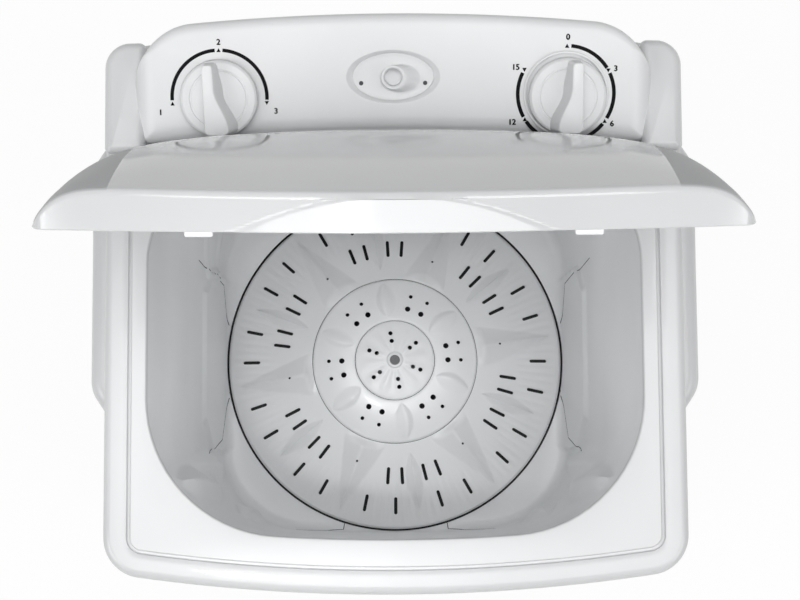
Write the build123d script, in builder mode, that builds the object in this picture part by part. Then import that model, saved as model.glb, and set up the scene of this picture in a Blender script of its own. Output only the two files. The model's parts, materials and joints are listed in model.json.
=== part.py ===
from build123d import *
from math import atan, cos, radians, sin, sqrt
import os

# A single-tub washing machine with a ribbed pulsator, its lid open. All sizes in millimetres.
# The floor is Z = 0, -Y is the front and the origin lies under the middle of the machine.

# Heights
foot_height = 14.0
base_height = 58.0
rim_height = 690.0

# Plan of the body
rim_width = 419.0
front_reach = 202.0
frame_rear = 199.0
bow_radius = 1300.0
rim_corner = 29.0
rear_corner = 34.0
wall = 3.0
seat_gap = 0.3

# Top frame
frame_skirt = 40.0
frame_plate = 4.0
rim_round = 5.0
lap_gap = 0.6
ledge_width = 18.5
groove_width = 2.6
groove_depth = 2.2
groove_corner = 10.0
curb_rise = 1.0
mouth_margin = 31.0
mouth_front_margin = 39.4
mouth_rear = 104.0
mouth_corner = 99.0
mouth_rear_corner = 67.0

# Side posts beside the control housing
post_inset = 27.5
post_width = 21.0
post_height = 55.0
post_rear = 185.0
post_foot = 121.0
post_lean = 13.5
post_lean_start = 13.0
post_corner = 18.0
post_round = 6.0

# Cabinet and base
base_window = (210.0, 200.0)
base_window_corner = 30.0
foot_inset = 55.9
foot_y = 140.0
foot_radius = 17.0
foot_screw_radius = 2.5
foot_socket_height = 16.0
vent_window = (236.0, 430.0)
vent_window_middle = (48.0, 330.0)
cover_lap = 9.0
cover_plate = 2.0
cover_corner = 12.0
louvre_size = (70.0, 4.0)
louvre_pitch = 14.0
louvre_rows = 8

# Side handles
handle_standoff = 20.1
handle_front = -83.0
handle_rear = 146.0
handle_top = 648.0
handle_depth = 34.0
handle_taper = 30.0
handle_wall = 4.0
handle_corner = 26.0
handle_round = 9.0
handle_screw_spread = 140.0

# Tub
tub_wall = 3.0
tub_flange = 14.0
tub_rear = 178.0
tub_side_taper = 14.0
tub_floor_margin = 3.2
tub_floor_corner = 78.0
tub_rear_corner = 60.0
tub_floor_height = 212.0
well_depth = 14.0

# Pulsator
pulsator_margin = 4.5
pulsator_gap = 1.6
pulsator_wall = 3.0
pulsator_rise = 16.0
ring_cap_radius = 78.5
ring_cap_rise = 9.0
hub_cap_radius = 37.6
hub_cap_rise = 5.0
cap_gap = 0.5
rib_count = 6
rib_start_angle = 9.0
main_rib_width = 34.0
main_rib_height = 8.5
main_rib_end = 9.0
minor_rib_width = 12.0
minor_rib_height = 4.0
minor_rib_start = 10.0
minor_rib_end = 17.5
slot_length = 16.4
slot_width = 3.1
outer_slot_inset = 22.1
inner_slot_inset = 50.5
outer_slot_offsets = (-21.0, -9.0, 9.0, 21.0)
inner_slot_offsets = (-12.7, -5.7, 5.7, 12.7)
cap_hole_radius = 2.6
cap_small_hole_radius = 1.8
cap_hole_circle = 50.6
cap_small_hole_circle = 63.0
cap_hole_spread = 7.7
hub_hole_radius = 2.05
hub_hole_circles = (18.4, 25.9)

# Drive under the tub
shaft_radius = 7.0
running_gap = 0.05
bush_radius = 11.0
bush_length = 18.0
hub_radius = 20.0
hub_length = 90.0
bearing_flange_radius = 46.0
bearing_flange_height = 7.0
bearing_bolt_circle = 36.0
bearing_bolt_count = 6
pulley_radius = 75.0
pulley_width = 13.0
motor_pulley_radius = 22.0
belt_width = 8.0
belt_thickness = 5.0
belt_depth = 6.0
motor_distance = 130.0
motor_angle = 45.0
motor_radius = 52.0
motor_shaft_radius = 5.0
bracket_plate = 3.0
mount_height = 5.0
motor_lug_circle = 58.0
rotor_depth = 20.0
screw_depth = 14.0
screw_head_radius = 4.5
bolt_radius = 2.0

# Drain at the back left
drain_angle = 135.0
drain_inset = 29.6
drain_hole_radius = 13.0
valve_radius = 24.0
valve_height = 52.0
plug_radius = 16.0
plug_height = 6.0
drain_lift = 10.0
spigot_radius = 12.0
spigot_wall = 2.5
spigot_socket = 16.0
spigot_shoulder = 1.0
spigot_reach = 2.0
spigot_collar = 16.0
overflow_radius = 8.0
overflow_side_gap = 19.1
overflow_rear_gap = 12.6
overflow_height = 600.0
overflow_bend = 12.0
gland_inset = 55.9
gland_height = 560.0
gland_radius = 9.0
gland_bore = 4.0

# Lid
hinge_y = 110.0
hinge_height = 10.0
lid_open = 72.5
lid_wall = 2.6
lid_rim = -2.0
lid_rear = 4.0
lid_rear_corner = 60.0
lid_front_corner = 9.0
lid_overrun = 8.0
lid_stations = (-7.0, 35.0, 90.0, 200.0)
lid_crown = (6.5, 21.0, 32.0, 35.1, 19.2)
lid_sides = (2.0, 4.0, 4.5, 5.0, 16.0)
lid_corners = (3.0, 5.0, 5.5, 6.0, 14.0)
grip_half_width = 85.0
grip_bulge = 5.0
pin_radius = 3.0
ear_radius = 6.0
ear_x = 150.0
ear_width = 6.0
ear_gap = 1.0
lug_x = 143.0
lug_radius = 5.5
notch_reach = 8.0
bumper_foot = -7.0
bumper_length = 15.3
bumper_x = 112.0
bumper_size = (17.0, 4.0)

# Control housing
housing_side_gap = 0.8
housing_rear = 202.0
housing_front_middle = 123.0
housing_front_side = 114.9
housing_rear_bow = 1600.0
housing_rear_corner = 45.0
housing_front_corner = 10.0
housing_screw_xs = (35.0, 100.0)
housing_screw_y = 186.5
housing_screw_depth = 26.0
post_rib = 11.0
housing_wall = 4.5
housing_round = 9.0
face_front_height = 54.0
face_rear_height = 80.0
face_crown = 2.0

# Dials
dial_x = 121.0
dial_y = 144.5
dial_seat_radius = 29.6
dial_seat_height = 1.2
knob_radius = 27.0
knob_height = 7.0
knob_clearance = 0.6
grip_height = 15.0
grip_width = 12.0
grip_flare = 17.0
dial_shaft_radius = 3.0
dial_boss_radius = 10.0
dial_boss_depth = 8.0
switch_size = (48.0, 32.0, 24.0)
switch_radius = 17.0

# Water inlet
inlet_y = 157.5
inlet_half_length = 32.0
inlet_half_width = 18.5
inlet_recess = 4.0
inlet_bore = 6.0
inlet_pipe_bore = 6.6
nozzle_base_radius = 13.0
nozzle_tip_radius = 8.6
nozzle_height = 9.0
inlet_screw_x = 22.7
inlet_screw_radius = 1.5
pipe_wall = 1.8

# Places worked out from the sizes above
rim_half = rim_width / 2
groove_half = rim_half - ledge_width
mouth_width = rim_width - 2 * mouth_margin
mouth_front = front_reach - mouth_front_margin
post_inner = rim_half - post_inset
housing_half_width = post_inner - housing_side_gap
frame_underside = rim_height - frame_plate
cabinet_bottom = foot_height + base_height
cabinet_half = rim_half - wall - lap_gap
cabinet_front = front_reach - wall - lap_gap
cabinet_rear = frame_rear - wall - lap_gap
foot_x = cabinet_half - foot_inset
gland_x = gland_inset - cabinet_half
handle_reach = cabinet_half + handle_standoff
overflow_outer = overflow_radius + pipe_wall
overflow_x = overflow_side_gap + overflow_outer + wall - cabinet_half
overflow_y = cabinet_rear - wall - overflow_outer - overflow_rear_gap
tub_floor_width = mouth_width - 2 * tub_side_taper
pulsator_radius = tub_floor_width / 2 - pulsator_margin
tub_floor_reach = pulsator_radius + tub_floor_margin
main_rib_reach = pulsator_radius - main_rib_end
minor_rib_inner = ring_cap_radius + minor_rib_start
minor_rib_outer = pulsator_radius - minor_rib_end
outer_slot_radius = pulsator_radius - outer_slot_inset
inner_slot_radius = pulsator_radius - inner_slot_inset
well_radius = pulsator_radius + pulsator_gap
drain_circle = well_radius - drain_inset
well_floor = tub_floor_height - well_depth
tub_underside = well_floor - tub_wall
bearing_top = tub_underside
bearing_bottom = bearing_top - hub_length
pulley_top = bearing_bottom - 4.0
pulley_bottom = pulley_top - pulley_width
belt_height = (pulley_top + pulley_bottom) / 2
motor_x = motor_distance * cos(radians(motor_angle))
motor_y = motor_distance * sin(radians(motor_angle))
bracket_top = tub_underside - bearing_flange_height
bracket_bottom = bracket_top - bracket_plate
motor_top = bracket_bottom - mount_height
motor_bottom = bearing_bottom
drain_x = drain_circle * cos(radians(drain_angle))
drain_y = drain_circle * sin(radians(drain_angle))
hinge_z = rim_height + hinge_height
lid_front = front_reach + hinge_y
back = cabinet_rear
outlet_height = tub_underside - valve_height / 2
bolt_hole = bolt_radius + 0.15

lid_along = Vector(0, -cos(radians(lid_open)), sin(radians(lid_open)))
lid_up = Vector(0, sin(radians(lid_open)), cos(radians(lid_open)))
hinge_point = Vector(0, hinge_y, hinge_z)
lid_plane = Plane(origin=hinge_point, x_dir=(1, 0, 0), z_dir=lid_up)


def bow(half_width, radius=bow_radius):
    """How far a bowed edge falls back at a given half width."""
    return radius - sqrt(radius**2 - half_width**2)


def plan_outline(half_width, front, rear, front_corner, back_corner):
    """Outline seen from above: straight sides and back, bowed front, rounded corners."""
    side_front = bow(half_width) - front
    with BuildSketch() as plan:
        with BuildLine():
            Polyline(
                (half_width, side_front),
                (half_width, rear),
                (-half_width, rear),
                (-half_width, side_front),
            )
            ThreePointArc((-half_width, side_front), (0, -front), (half_width, side_front))
        make_face()
        fillet(plan.vertices().group_by(Axis.Y)[0], front_corner)
        fillet(plan.vertices().group_by(Axis.Y)[-1], back_corner)
    return plan.sketch


def face_height(y):
    """Height of the control face above the rim at a depth y."""
    share = (y - housing_front_side) / (housing_rear - housing_front_side)
    chord = face_front_height + (face_rear_height - face_front_height) * share
    return chord + 4 * face_crown * share * (1 - share)


def face_slope(y):
    """Slope of the control face at a depth y, in radians."""
    span = housing_rear - housing_front_side
    share = (y - housing_front_side) / span
    rise = (face_rear_height - face_front_height) + 4 * face_crown * (1 - 2 * share)
    return atan(rise / span)


def face_plane(x, y):
    """Plane that touches the control face at a point, its z axis square to the face."""
    slope = face_slope(y)
    origin = (x, y, rim_height + face_height(y))
    return Plane(origin=origin, x_dir=(1, 0, 0), z_dir=(0, -sin(slope), cos(slope)))


def housing_outline(inset):
    """Plan of the control housing: hollowed front, bowed back, rounded corners."""
    half = housing_half_width - inset
    side = housing_front_side + inset
    back_side = housing_rear - inset - bow(half, housing_rear_bow)
    with BuildSketch() as plan:
        with BuildLine():
            ThreePointArc((-half, side), (0, housing_front_middle + inset), (half, side))
            Line((half, side), (half, back_side))
            ThreePointArc((half, back_side), (0, housing_rear - inset), (-half, back_side))
            Line((-half, back_side), (-half, side))
        make_face()
        fillet(plan.vertices().group_by(Axis.Y)[0], housing_front_corner - inset)
        fillet(plan.vertices().group_by(Axis.Y)[-1], housing_rear_corner - inset)
    return plan.sketch


def save(piece, name):
    """Label a finished piece and write it."""
    piece.part.label = name
    export_step(piece.part, f"parts/{name}.step")


os.makedirs("parts", exist_ok=True)

# Base frame: a tray with a service window in its floor and four foot sockets
cabinet_outline = plan_outline(
    cabinet_half, cabinet_front, cabinet_rear, rim_corner - wall, rear_corner - wall
)
cabinet_hollow = plan_outline(
    cabinet_half - wall,
    cabinet_front - wall,
    cabinet_rear - wall,
    rim_corner - 2 * wall,
    rear_corner - 2 * wall,
)
foot_places = GridLocations(2 * foot_x, 2 * foot_y, 2, 2)

with BuildPart() as base_frame:
    with BuildSketch(Plane.XY.offset(foot_height)):
        add(cabinet_outline)
    extrude(amount=base_height)
    with BuildSketch(Plane.XY.offset(foot_height + wall)):
        add(cabinet_hollow)
    extrude(amount=base_height - wall, mode=Mode.SUBTRACT)
    with BuildSketch(Plane.XY.offset(foot_height)):
        RectangleRounded(*base_window, base_window_corner)
    extrude(amount=wall, mode=Mode.SUBTRACT)
    with BuildSketch(Plane.XY.offset(foot_height + wall)):
        with foot_places:
            Circle(foot_radius)
    extrude(amount=foot_socket_height)
    with BuildSketch(Plane.XY.offset(foot_height)):
        with foot_places:
            Circle(foot_screw_radius + running_gap)
    extrude(amount=wall + foot_socket_height, mode=Mode.SUBTRACT)
save(base_frame, "base_frame")

# Rubber feet with a waisted side, and the screws that hold them
with BuildPart() as feet:
    with BuildSketch():
        with foot_places:
            Circle(foot_radius)
    extrude(amount=foot_height * 0.5, taper=12)
    with BuildSketch(Plane.XY.offset(foot_height * 0.5)):
        with foot_places:
            Circle(foot_radius - 2)
    extrude(amount=foot_height * 0.5)
    with BuildSketch():
        with foot_places:
            Circle(foot_screw_radius + running_gap)
    extrude(amount=foot_height, mode=Mode.SUBTRACT)
    with BuildSketch():
        with foot_places:
            Circle(2 * foot_screw_radius)
    extrude(amount=foot_height / 3, mode=Mode.SUBTRACT)
save(feet, "feet")

with BuildPart() as foot_screws:
    with BuildSketch(Plane.XY.offset(foot_height / 3)):
        with foot_places:
            Circle(foot_screw_radius)
    extrude(amount=foot_height * 2 / 3 + wall + foot_socket_height / 2)
    with BuildSketch(Plane.XY.offset(foot_height / 3 - 2)):
        with foot_places:
            Circle(2 * foot_screw_radius - seat_gap)
    extrude(amount=2)
save(foot_screws, "foot_screws")

# Cabinet: a straight shell, open above and below, with a service window in its back
window_x, window_z = vent_window_middle
handle_screw_z = handle_top - handle_depth / 2
handle_middle = (handle_front + handle_rear) / 2
handle_screw_places = (
    (handle_middle - handle_screw_spread / 2, handle_screw_z),
    (handle_middle + handle_screw_spread / 2, handle_screw_z),
)

with BuildPart() as cabinet:
    with BuildSketch(Plane.XY.offset(cabinet_bottom)):
        add(cabinet_outline)
        add(cabinet_hollow, mode=Mode.SUBTRACT)
    extrude(amount=frame_underside - cabinet_bottom)
    with BuildSketch(Plane.XZ.offset(-back)):
        with Locations((window_x, window_z)):
            RectangleRounded(*vent_window, cover_corner)
    extrude(amount=2 * wall, both=True, mode=Mode.SUBTRACT)
    # drain outlet and cord gland holes, then the handle screw holes
    with BuildSketch(Plane.XZ.offset(-back)):
        with Locations((drain_x, outlet_height)):
            Circle(spigot_radius + seat_gap)
        with Locations((gland_x, gland_height)):
            Circle(gland_radius + seat_gap)
    extrude(amount=2 * wall, both=True, mode=Mode.SUBTRACT)
    with BuildSketch(Plane.YZ):
        with Locations(*handle_screw_places):
            Circle(bolt_hole)
    extrude(amount=rim_width, both=True, mode=Mode.SUBTRACT)
save(cabinet, "cabinet")

# Back cover with louvres, and its screws
cover_width = vent_window[0] + 2 * cover_lap
cover_height = vent_window[1] + 2 * cover_lap
cover_screw_x = cover_width / 2 - cover_lap / 2
cover_screw_z = cover_height / 2 - cover_lap / 2
louvre_middle = window_z - vent_window[1] / 2 + louvre_pitch * (louvre_rows + 1) / 2
screw_rows = 3

with BuildPart() as back_cover:
    with BuildSketch(Plane.XZ.offset(-back)):
        with Locations((window_x, window_z)):
            RectangleRounded(cover_width, cover_height, cover_corner + cover_lap / 2)
            with GridLocations(2 * cover_screw_x, cover_screw_z, 2, screw_rows):
                Circle(bolt_radius + seat_gap / 2, mode=Mode.SUBTRACT)
        with Locations((window_x, louvre_middle)):
            with GridLocations(louvre_size[0] * 1.4, louvre_pitch, 2, louvre_rows):
                SlotOverall(*louvre_size, mode=Mode.SUBTRACT)
    extrude(amount=-cover_plate)
save(back_cover, "back_cover")

with BuildPart() as back_cover_screws:
    with BuildSketch(Plane.XZ.offset(-back - cover_plate)):
        with Locations((window_x, window_z)):
            with GridLocations(2 * cover_screw_x, cover_screw_z, 2, screw_rows):
                Circle(2 * bolt_radius)
    extrude(amount=-1.5)
    with BuildSketch(Plane.XZ.offset(-back - cover_plate)):
        with Locations((window_x, window_z)):
            with GridLocations(2 * cover_screw_x, cover_screw_z, 2, screw_rows):
                Circle(bolt_radius)
    extrude(amount=cover_plate)
save(back_cover_screws, "back_cover_screws")

# Top frame: skirt, ledge, groove, raised curb, tub mouth, side posts and hinge ears
rim_plan = plan_outline(rim_half, front_reach, frame_rear, rim_corner, rear_corner)
skirt_hollow = plan_outline(
    rim_half - wall, front_reach - wall, frame_rear - wall, rim_corner - wall, rear_corner - wall
)
groove_front = front_reach - ledge_width
groove_outer = plan_outline(
    groove_half + groove_width / 2, groove_front + groove_width / 2, post_foot, groove_corner, 1
)
groove_inner = plan_outline(
    groove_half - groove_width / 2,
    groove_front - groove_width / 2,
    post_foot + groove_width,
    groove_corner,
    1,
)
curb_plan = plan_outline(
    groove_half - groove_width / 2,
    groove_front - groove_width / 2,
    post_foot,
    groove_corner,
    1,
)
mouth_plan = plan_outline(
    mouth_width / 2, mouth_front, mouth_rear, mouth_corner, mouth_rear_corner
)
inlet_slope = face_slope(inlet_y)
pipe_y = inlet_y + 30 * sin(inlet_slope)
pipe_radius = inlet_bore + pipe_wall

housing_seat = housing_outline(-seat_gap)
housing_screw_places = [
    (side * place, housing_screw_y) for side in (-1, 1) for place in housing_screw_xs
]

# A side post, hollowed back where the open lid leans
with BuildPart() as side_post:
    with BuildSketch(Plane.YZ.offset(post_inner)):
        with BuildLine():
            Polyline(
                (post_foot, frame_underside),
                (post_foot, rim_height + post_lean_start),
                (post_foot - post_lean, rim_height + post_height),
                (post_rear, rim_height + post_height),
                (post_rear, frame_underside),
                close=True,
            )
        make_face()
    extrude(amount=post_width)
    outer_edges = side_post.faces().sort_by(Axis.X)[-1].edges()
    fillet(outer_edges.sort_by(Axis.Y)[-1], post_corner)
    fillet(side_post.faces().sort_by(Axis.Z)[-1].edges(), post_round)

with BuildPart() as top_frame:
    with BuildSketch(Plane.XY.offset(rim_height - frame_skirt)):
        add(rim_plan)
    extrude(amount=frame_skirt)
    fillet(top_frame.faces().sort_by(Axis.Z)[-1].edges(), rim_round)
    with BuildSketch(Plane.XY.offset(rim_height - frame_skirt)):
        add(skirt_hollow)
    extrude(amount=frame_skirt - frame_plate, mode=Mode.SUBTRACT)
    with BuildSketch(Plane.XY.offset(rim_height)):
        add(curb_plan)
    extrude(amount=curb_rise)
    with BuildSketch(Plane.XY.offset(rim_height - groove_depth)):
        add(groove_outer)
        add(groove_inner, mode=Mode.SUBTRACT)
    extrude(amount=groove_depth + curb_rise, mode=Mode.SUBTRACT)
    with BuildSketch(Plane.XY.offset(frame_underside)):
        add(mouth_plan)
        with Locations((0, pipe_y)):
            Circle(pipe_radius + seat_gap)
    extrude(amount=frame_plate + curb_rise, mode=Mode.SUBTRACT)
    with BuildSketch(Plane.XY.offset(rim_height)):
        add(housing_seat)
    extrude(amount=curb_rise, mode=Mode.SUBTRACT)
    with BuildSketch(Plane.XY.offset(frame_underside)):
        with Locations(*housing_screw_places):
            Circle(bolt_hole)
    extrude(amount=frame_plate, mode=Mode.SUBTRACT)
    add(side_post.part)
    mirror(side_post.part, about=Plane.YZ)
    for side in (1, -1):
        with BuildSketch(Plane.YZ.offset(side * ear_x - ear_width / 2)):
            with Locations((hinge_y, hinge_z)):
                Circle(ear_radius)
            with Locations((hinge_y, (hinge_z + frame_underside) / 2)):
                Rectangle(2 * ear_radius, hinge_z - frame_underside)
            with Locations((hinge_y, hinge_z)):
                Circle(pin_radius + running_gap, mode=Mode.SUBTRACT)
        extrude(amount=ear_width)
save(top_frame, "top_frame")

# Overflow: it leaves the back left corner of the tub square to the corner wall
tub_share = (overflow_height - tub_floor_height) / (frame_underside - tub_floor_height)
corner_x = -(mouth_width / 2 - tub_rear_corner) * tub_share
corner_x -= (tub_floor_width / 2 - tub_floor_corner) * (1 - tub_share)
corner_y = (tub_rear - tub_rear_corner) * tub_share
corner_y += (tub_floor_reach - tub_floor_corner) * (1 - tub_share)
corner_reach = tub_rear_corner * tub_share + tub_floor_corner * (1 - tub_share)
overflow_out = Vector(overflow_x - corner_x, overflow_y - corner_y, 0)
overflow_stub = overflow_out.length - corner_reach
overflow_out = overflow_out.normalized()
overflow_mouth = Vector(overflow_x, overflow_y, overflow_height) - overflow_out * overflow_stub
overflow_plane = Plane(origin=overflow_mouth + overflow_out * 2 * tub_wall, z_dir=overflow_out)

# Tub: tapering shell with side and front pads, a round well, and a flange under the frame
tub_mouth = plan_outline(mouth_width / 2, mouth_front, tub_rear, mouth_corner, tub_rear_corner)
tub_skin = plan_outline(
    mouth_width / 2 + tub_wall,
    mouth_front + tub_wall,
    tub_rear + tub_wall,
    mouth_corner + tub_wall,
    tub_rear_corner + tub_wall,
)
floor_half = tub_floor_width / 2
floor_plan = plan_outline(
    floor_half, tub_floor_reach, tub_floor_reach, tub_floor_corner, tub_floor_corner
)
floor_skin = plan_outline(
    floor_half + tub_wall,
    tub_floor_reach + tub_wall,
    tub_floor_reach + tub_wall,
    tub_floor_corner + tub_wall,
    tub_floor_corner + tub_wall,
)
flange_plan = plan_outline(
    mouth_width / 2 + tub_flange,
    mouth_front + tub_flange,
    tub_rear + tub_wall + 1,
    mouth_corner,
    tub_rear_corner,
)

with BuildPart() as tub:
    with BuildSketch(Plane.XY.offset(tub_floor_height - tub_wall)):
        add(floor_skin)
    with BuildSketch(Plane.XY.offset(frame_underside)):
        add(tub_skin)
    loft()
    with BuildSketch(Plane.XY.offset(frame_underside - tub_wall)):
        add(flange_plan)
    extrude(amount=tub_wall)
    with BuildSketch(Plane.XY.offset(well_floor - tub_wall)):
        Circle(well_radius + tub_wall)
    extrude(amount=well_depth + tub_wall)
    with BuildSketch(Plane.XY.offset(tub_floor_height)):
        add(floor_plan)
    with BuildSketch(Plane.XY.offset(frame_underside)):
        add(tub_mouth)
    loft(mode=Mode.SUBTRACT)
    with BuildSketch(Plane.XY.offset(well_floor)):
        Circle(well_radius)
    extrude(amount=well_depth + 1, mode=Mode.SUBTRACT)
    # shaft hole and drain hole in the well
    with BuildSketch(Plane.XY.offset(tub_underside)):
        Circle(hub_radius)
        with Locations((drain_x, drain_y)):
            Circle(drain_hole_radius)
        with PolarLocations(bearing_bolt_circle, bearing_bolt_count):
            Circle(bolt_hole)
    extrude(amount=tub_wall, mode=Mode.SUBTRACT)
    # overflow hole through the corner wall
    with BuildSketch(overflow_plane):
        Circle(overflow_outer + seat_gap)
    extrude(amount=-2 * overflow_stub, mode=Mode.SUBTRACT)
save(tub, "tub")

# Side handles: a rounded grip, hollow below for the fingers
handle_foot = handle_top - handle_depth

with BuildPart() as right_handle:
    with BuildSketch(Plane.XY.offset(handle_foot)) as handle_plan:
        with BuildLine():
            Polyline(
                (cabinet_half, handle_front),
                (handle_reach, handle_front + handle_taper),
                (handle_reach, handle_rear - handle_taper),
                (cabinet_half, handle_rear),
                close=True,
            )
        make_face()
        fillet(handle_plan.vertices().group_by(Axis.X)[-1], handle_corner)
    extrude(amount=handle_depth)
    upper_edges = right_handle.faces().sort_by(Axis.Z)[-1].edges()
    fillet(upper_edges.filter_by_position(Axis.X, cabinet_half + 1, handle_reach + 1), handle_round)
    with BuildSketch(Plane.XY.offset(handle_foot)):
        with Locations(((cabinet_half + handle_reach) / 2, handle_middle)):
            SlotOverall(
                handle_rear - handle_front - 2 * handle_taper,
                handle_reach - cabinet_half - 2 * handle_wall,
                rotation=90,
            )
    extrude(amount=handle_depth - 2 * handle_wall, mode=Mode.SUBTRACT)
    with BuildSketch(Plane.YZ.offset(cabinet_half)):
        with Locations(*handle_screw_places):
            Circle(bolt_hole)
    extrude(amount=handle_wall, mode=Mode.SUBTRACT)
save(right_handle, "right_handle")

with BuildPart() as left_handle:
    mirror(right_handle.part, about=Plane.YZ)
save(left_handle, "left_handle")

handle_head = cabinet_half - wall
with BuildPart() as handle_screws:
    with BuildSketch(Plane.YZ.offset(handle_head)):
        with Locations(*handle_screw_places):
            Circle(bolt_radius)
    extrude(amount=wall + handle_wall - 0.5)
    with BuildSketch(Plane.YZ.offset(handle_head)):
        with Locations(*handle_screw_places):
            Circle(2 * bolt_radius)
    extrude(amount=-2)
    mirror(about=Plane.YZ)
save(handle_screws, "handle_screws")

# Pulsator disc: a shallow hollow cone with star ribs, lens ribs and drain slots
disc_top = tub_floor_height + pulsator_rise
cap_seat = disc_top - pulsator_wall - 1
disc_lip = well_floor + 3.0
shaft_bore = shaft_radius + running_gap
boss_radius = 16.0
minor_angle = rib_start_angle + 180 / rib_count
cone_fall = pulsator_rise / (pulsator_radius - ring_cap_radius)


def ridge(inner, middle, outer, width, height, surface, fall):
    """A roof-shaped rib along +X on a surface that falls away from the middle."""
    tip = 0.8
    stations = ((inner, tip, tip / 2), (middle, width, height), (outer, tip, tip / 2))
    with BuildPart() as rib:
        for radius, breadth, rise in stations:
            ground = surface - fall * (radius - inner)
            station = Plane(origin=(radius, 0, ground), x_dir=(0, 1, 0), z_dir=(1, 0, 0))
            with BuildSketch(station):
                with BuildLine():
                    Polyline(
                        (-breadth / 2, -1.5),
                        (breadth / 2, -1.5),
                        (breadth / 2, 0),
                        (0, rise),
                        (-breadth / 2, 0),
                        close=True,
                    )
                make_face()
        loft(ruled=True)
    return rib.part


main_rib = ridge(
    ring_cap_radius + 2,
    ring_cap_radius + 8,
    main_rib_reach,
    main_rib_width,
    main_rib_height,
    disc_top - 0.5,
    cone_fall,
)
minor_rib = ridge(
    minor_rib_inner,
    (minor_rib_inner + minor_rib_outer) / 2,
    minor_rib_outer,
    minor_rib_width,
    minor_rib_height,
    disc_top - cone_fall * (minor_rib_inner - ring_cap_radius) - 0.3,
    cone_fall,
)

with BuildPart() as pulsator_disc:
    with BuildSketch(Plane.XZ):
        with BuildLine():
            Polyline(
                (pulsator_radius, disc_lip),
                (pulsator_radius, tub_floor_height - 1.5),
                (pulsator_radius - 1.5, tub_floor_height),
                (ring_cap_radius + cap_gap, disc_top),
                (ring_cap_radius + cap_gap, cap_seat),
                (shaft_radius, cap_seat),
                (shaft_radius, disc_lip),
                (boss_radius, disc_lip),
                (boss_radius, cap_seat - pulsator_wall),
                (ring_cap_radius - pulsator_wall, cap_seat - pulsator_wall),
                (pulsator_radius - pulsator_wall, tub_floor_height - pulsator_wall - 1),
                (pulsator_radius - pulsator_wall, disc_lip),
                close=True,
            )
        make_face()
    revolve(axis=Axis.Z)
    for turn in range(rib_count):
        add(main_rib.rotate(Axis.Z, rib_start_angle + turn * 360 / rib_count))
        add(minor_rib.rotate(Axis.Z, minor_angle + turn * 360 / rib_count))
    with BuildSketch(Plane.XY.offset(disc_lip)):
        for offset in outer_slot_offsets:
            with PolarLocations(outer_slot_radius, rib_count, start_angle=minor_angle + offset):
                SlotOverall(slot_length, slot_width)
        for offset in inner_slot_offsets:
            with PolarLocations(inner_slot_radius, rib_count, start_angle=minor_angle + offset):
                SlotOverall(slot_length, slot_width)
    extrude(amount=disc_top - disc_lip + main_rib_height, mode=Mode.SUBTRACT)
save(pulsator_disc, "pulsator_disc")

# Ring cap: a domed ring with petals and clusters of holes, dropped into the disc
ring_top = disc_top + ring_cap_rise
hub_seat = ring_top - pulsator_wall - 1
ring_petal = ridge(
    hub_cap_radius + 6,
    (hub_cap_radius + ring_cap_radius) / 2,
    ring_cap_radius - 3,
    15.0,
    4.5,
    ring_top - 0.6 - 6 * ring_cap_rise / (ring_cap_radius - hub_cap_radius),
    ring_cap_rise / (ring_cap_radius - hub_cap_radius),
)

with BuildPart() as pulsator_ring_cap:
    with BuildSketch(Plane.XZ):
        with BuildLine():
            Polyline(
                (ring_cap_radius, cap_seat),
                (ring_cap_radius, disc_top),
                (hub_cap_radius + cap_gap, ring_top),
                (hub_cap_radius + cap_gap, hub_seat),
                (boss_radius, hub_seat),
                (boss_radius, cap_seat),
                (boss_radius + pulsator_wall, cap_seat),
                (boss_radius + pulsator_wall, hub_seat - pulsator_wall),
                (hub_cap_radius, hub_seat - pulsator_wall),
                (ring_cap_radius - pulsator_wall, disc_top - pulsator_wall),
                (ring_cap_radius - pulsator_wall, cap_seat),
                close=True,
            )
        make_face()
    revolve(axis=Axis.Z)
    for turn in range(rib_count):
        add(ring_petal.rotate(Axis.Z, minor_angle + turn * 360 / rib_count))
    with BuildSketch(Plane.XY.offset(cap_seat)):
        for spread in (-cap_hole_spread, cap_hole_spread):
            with PolarLocations(cap_hole_circle, rib_count, start_angle=rib_start_angle + spread):
                Circle(cap_hole_radius)
            with PolarLocations(
                cap_small_hole_circle, rib_count, start_angle=rib_start_angle + spread
            ):
                Circle(cap_small_hole_radius)
    extrude(amount=ring_cap_rise + ring_top - cap_seat, mode=Mode.SUBTRACT)
save(pulsator_ring_cap, "pulsator_ring_cap")

# Hub cap: a low dome with pairs of holes, whose boss stands on the shaft
hub_top = ring_top + hub_cap_rise
shaft_top = cap_seat + 1.0

with BuildPart() as pulsator_hub_cap:
    with BuildSketch(Plane.XZ):
        with BuildLine():
            Polyline(
                (0, hub_top),
                (0, shaft_top),
                (shaft_radius, shaft_top),
                (shaft_radius, hub_seat),
                (hub_cap_radius, hub_seat),
                (hub_cap_radius, ring_top),
            )
            ThreePointArc(
                (hub_cap_radius, ring_top),
                (hub_cap_radius / 2, ring_top + hub_cap_rise * 0.75),
                (0, hub_top),
            )
        make_face()
    revolve(axis=Axis.Z)
    with BuildSketch(Plane.XY.offset(shaft_top)):
        Circle(bolt_hole)
        for circle in hub_hole_circles:
            with PolarLocations(circle, rib_count, start_angle=minor_angle):
                Circle(hub_hole_radius)
    extrude(amount=hub_top - shaft_top, mode=Mode.SUBTRACT)
    with BuildSketch(Plane.XY.offset(hub_top - 1.5)):
        Circle(screw_head_radius + seat_gap)
    extrude(amount=2, mode=Mode.SUBTRACT)
save(pulsator_hub_cap, "pulsator_hub_cap")

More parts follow.
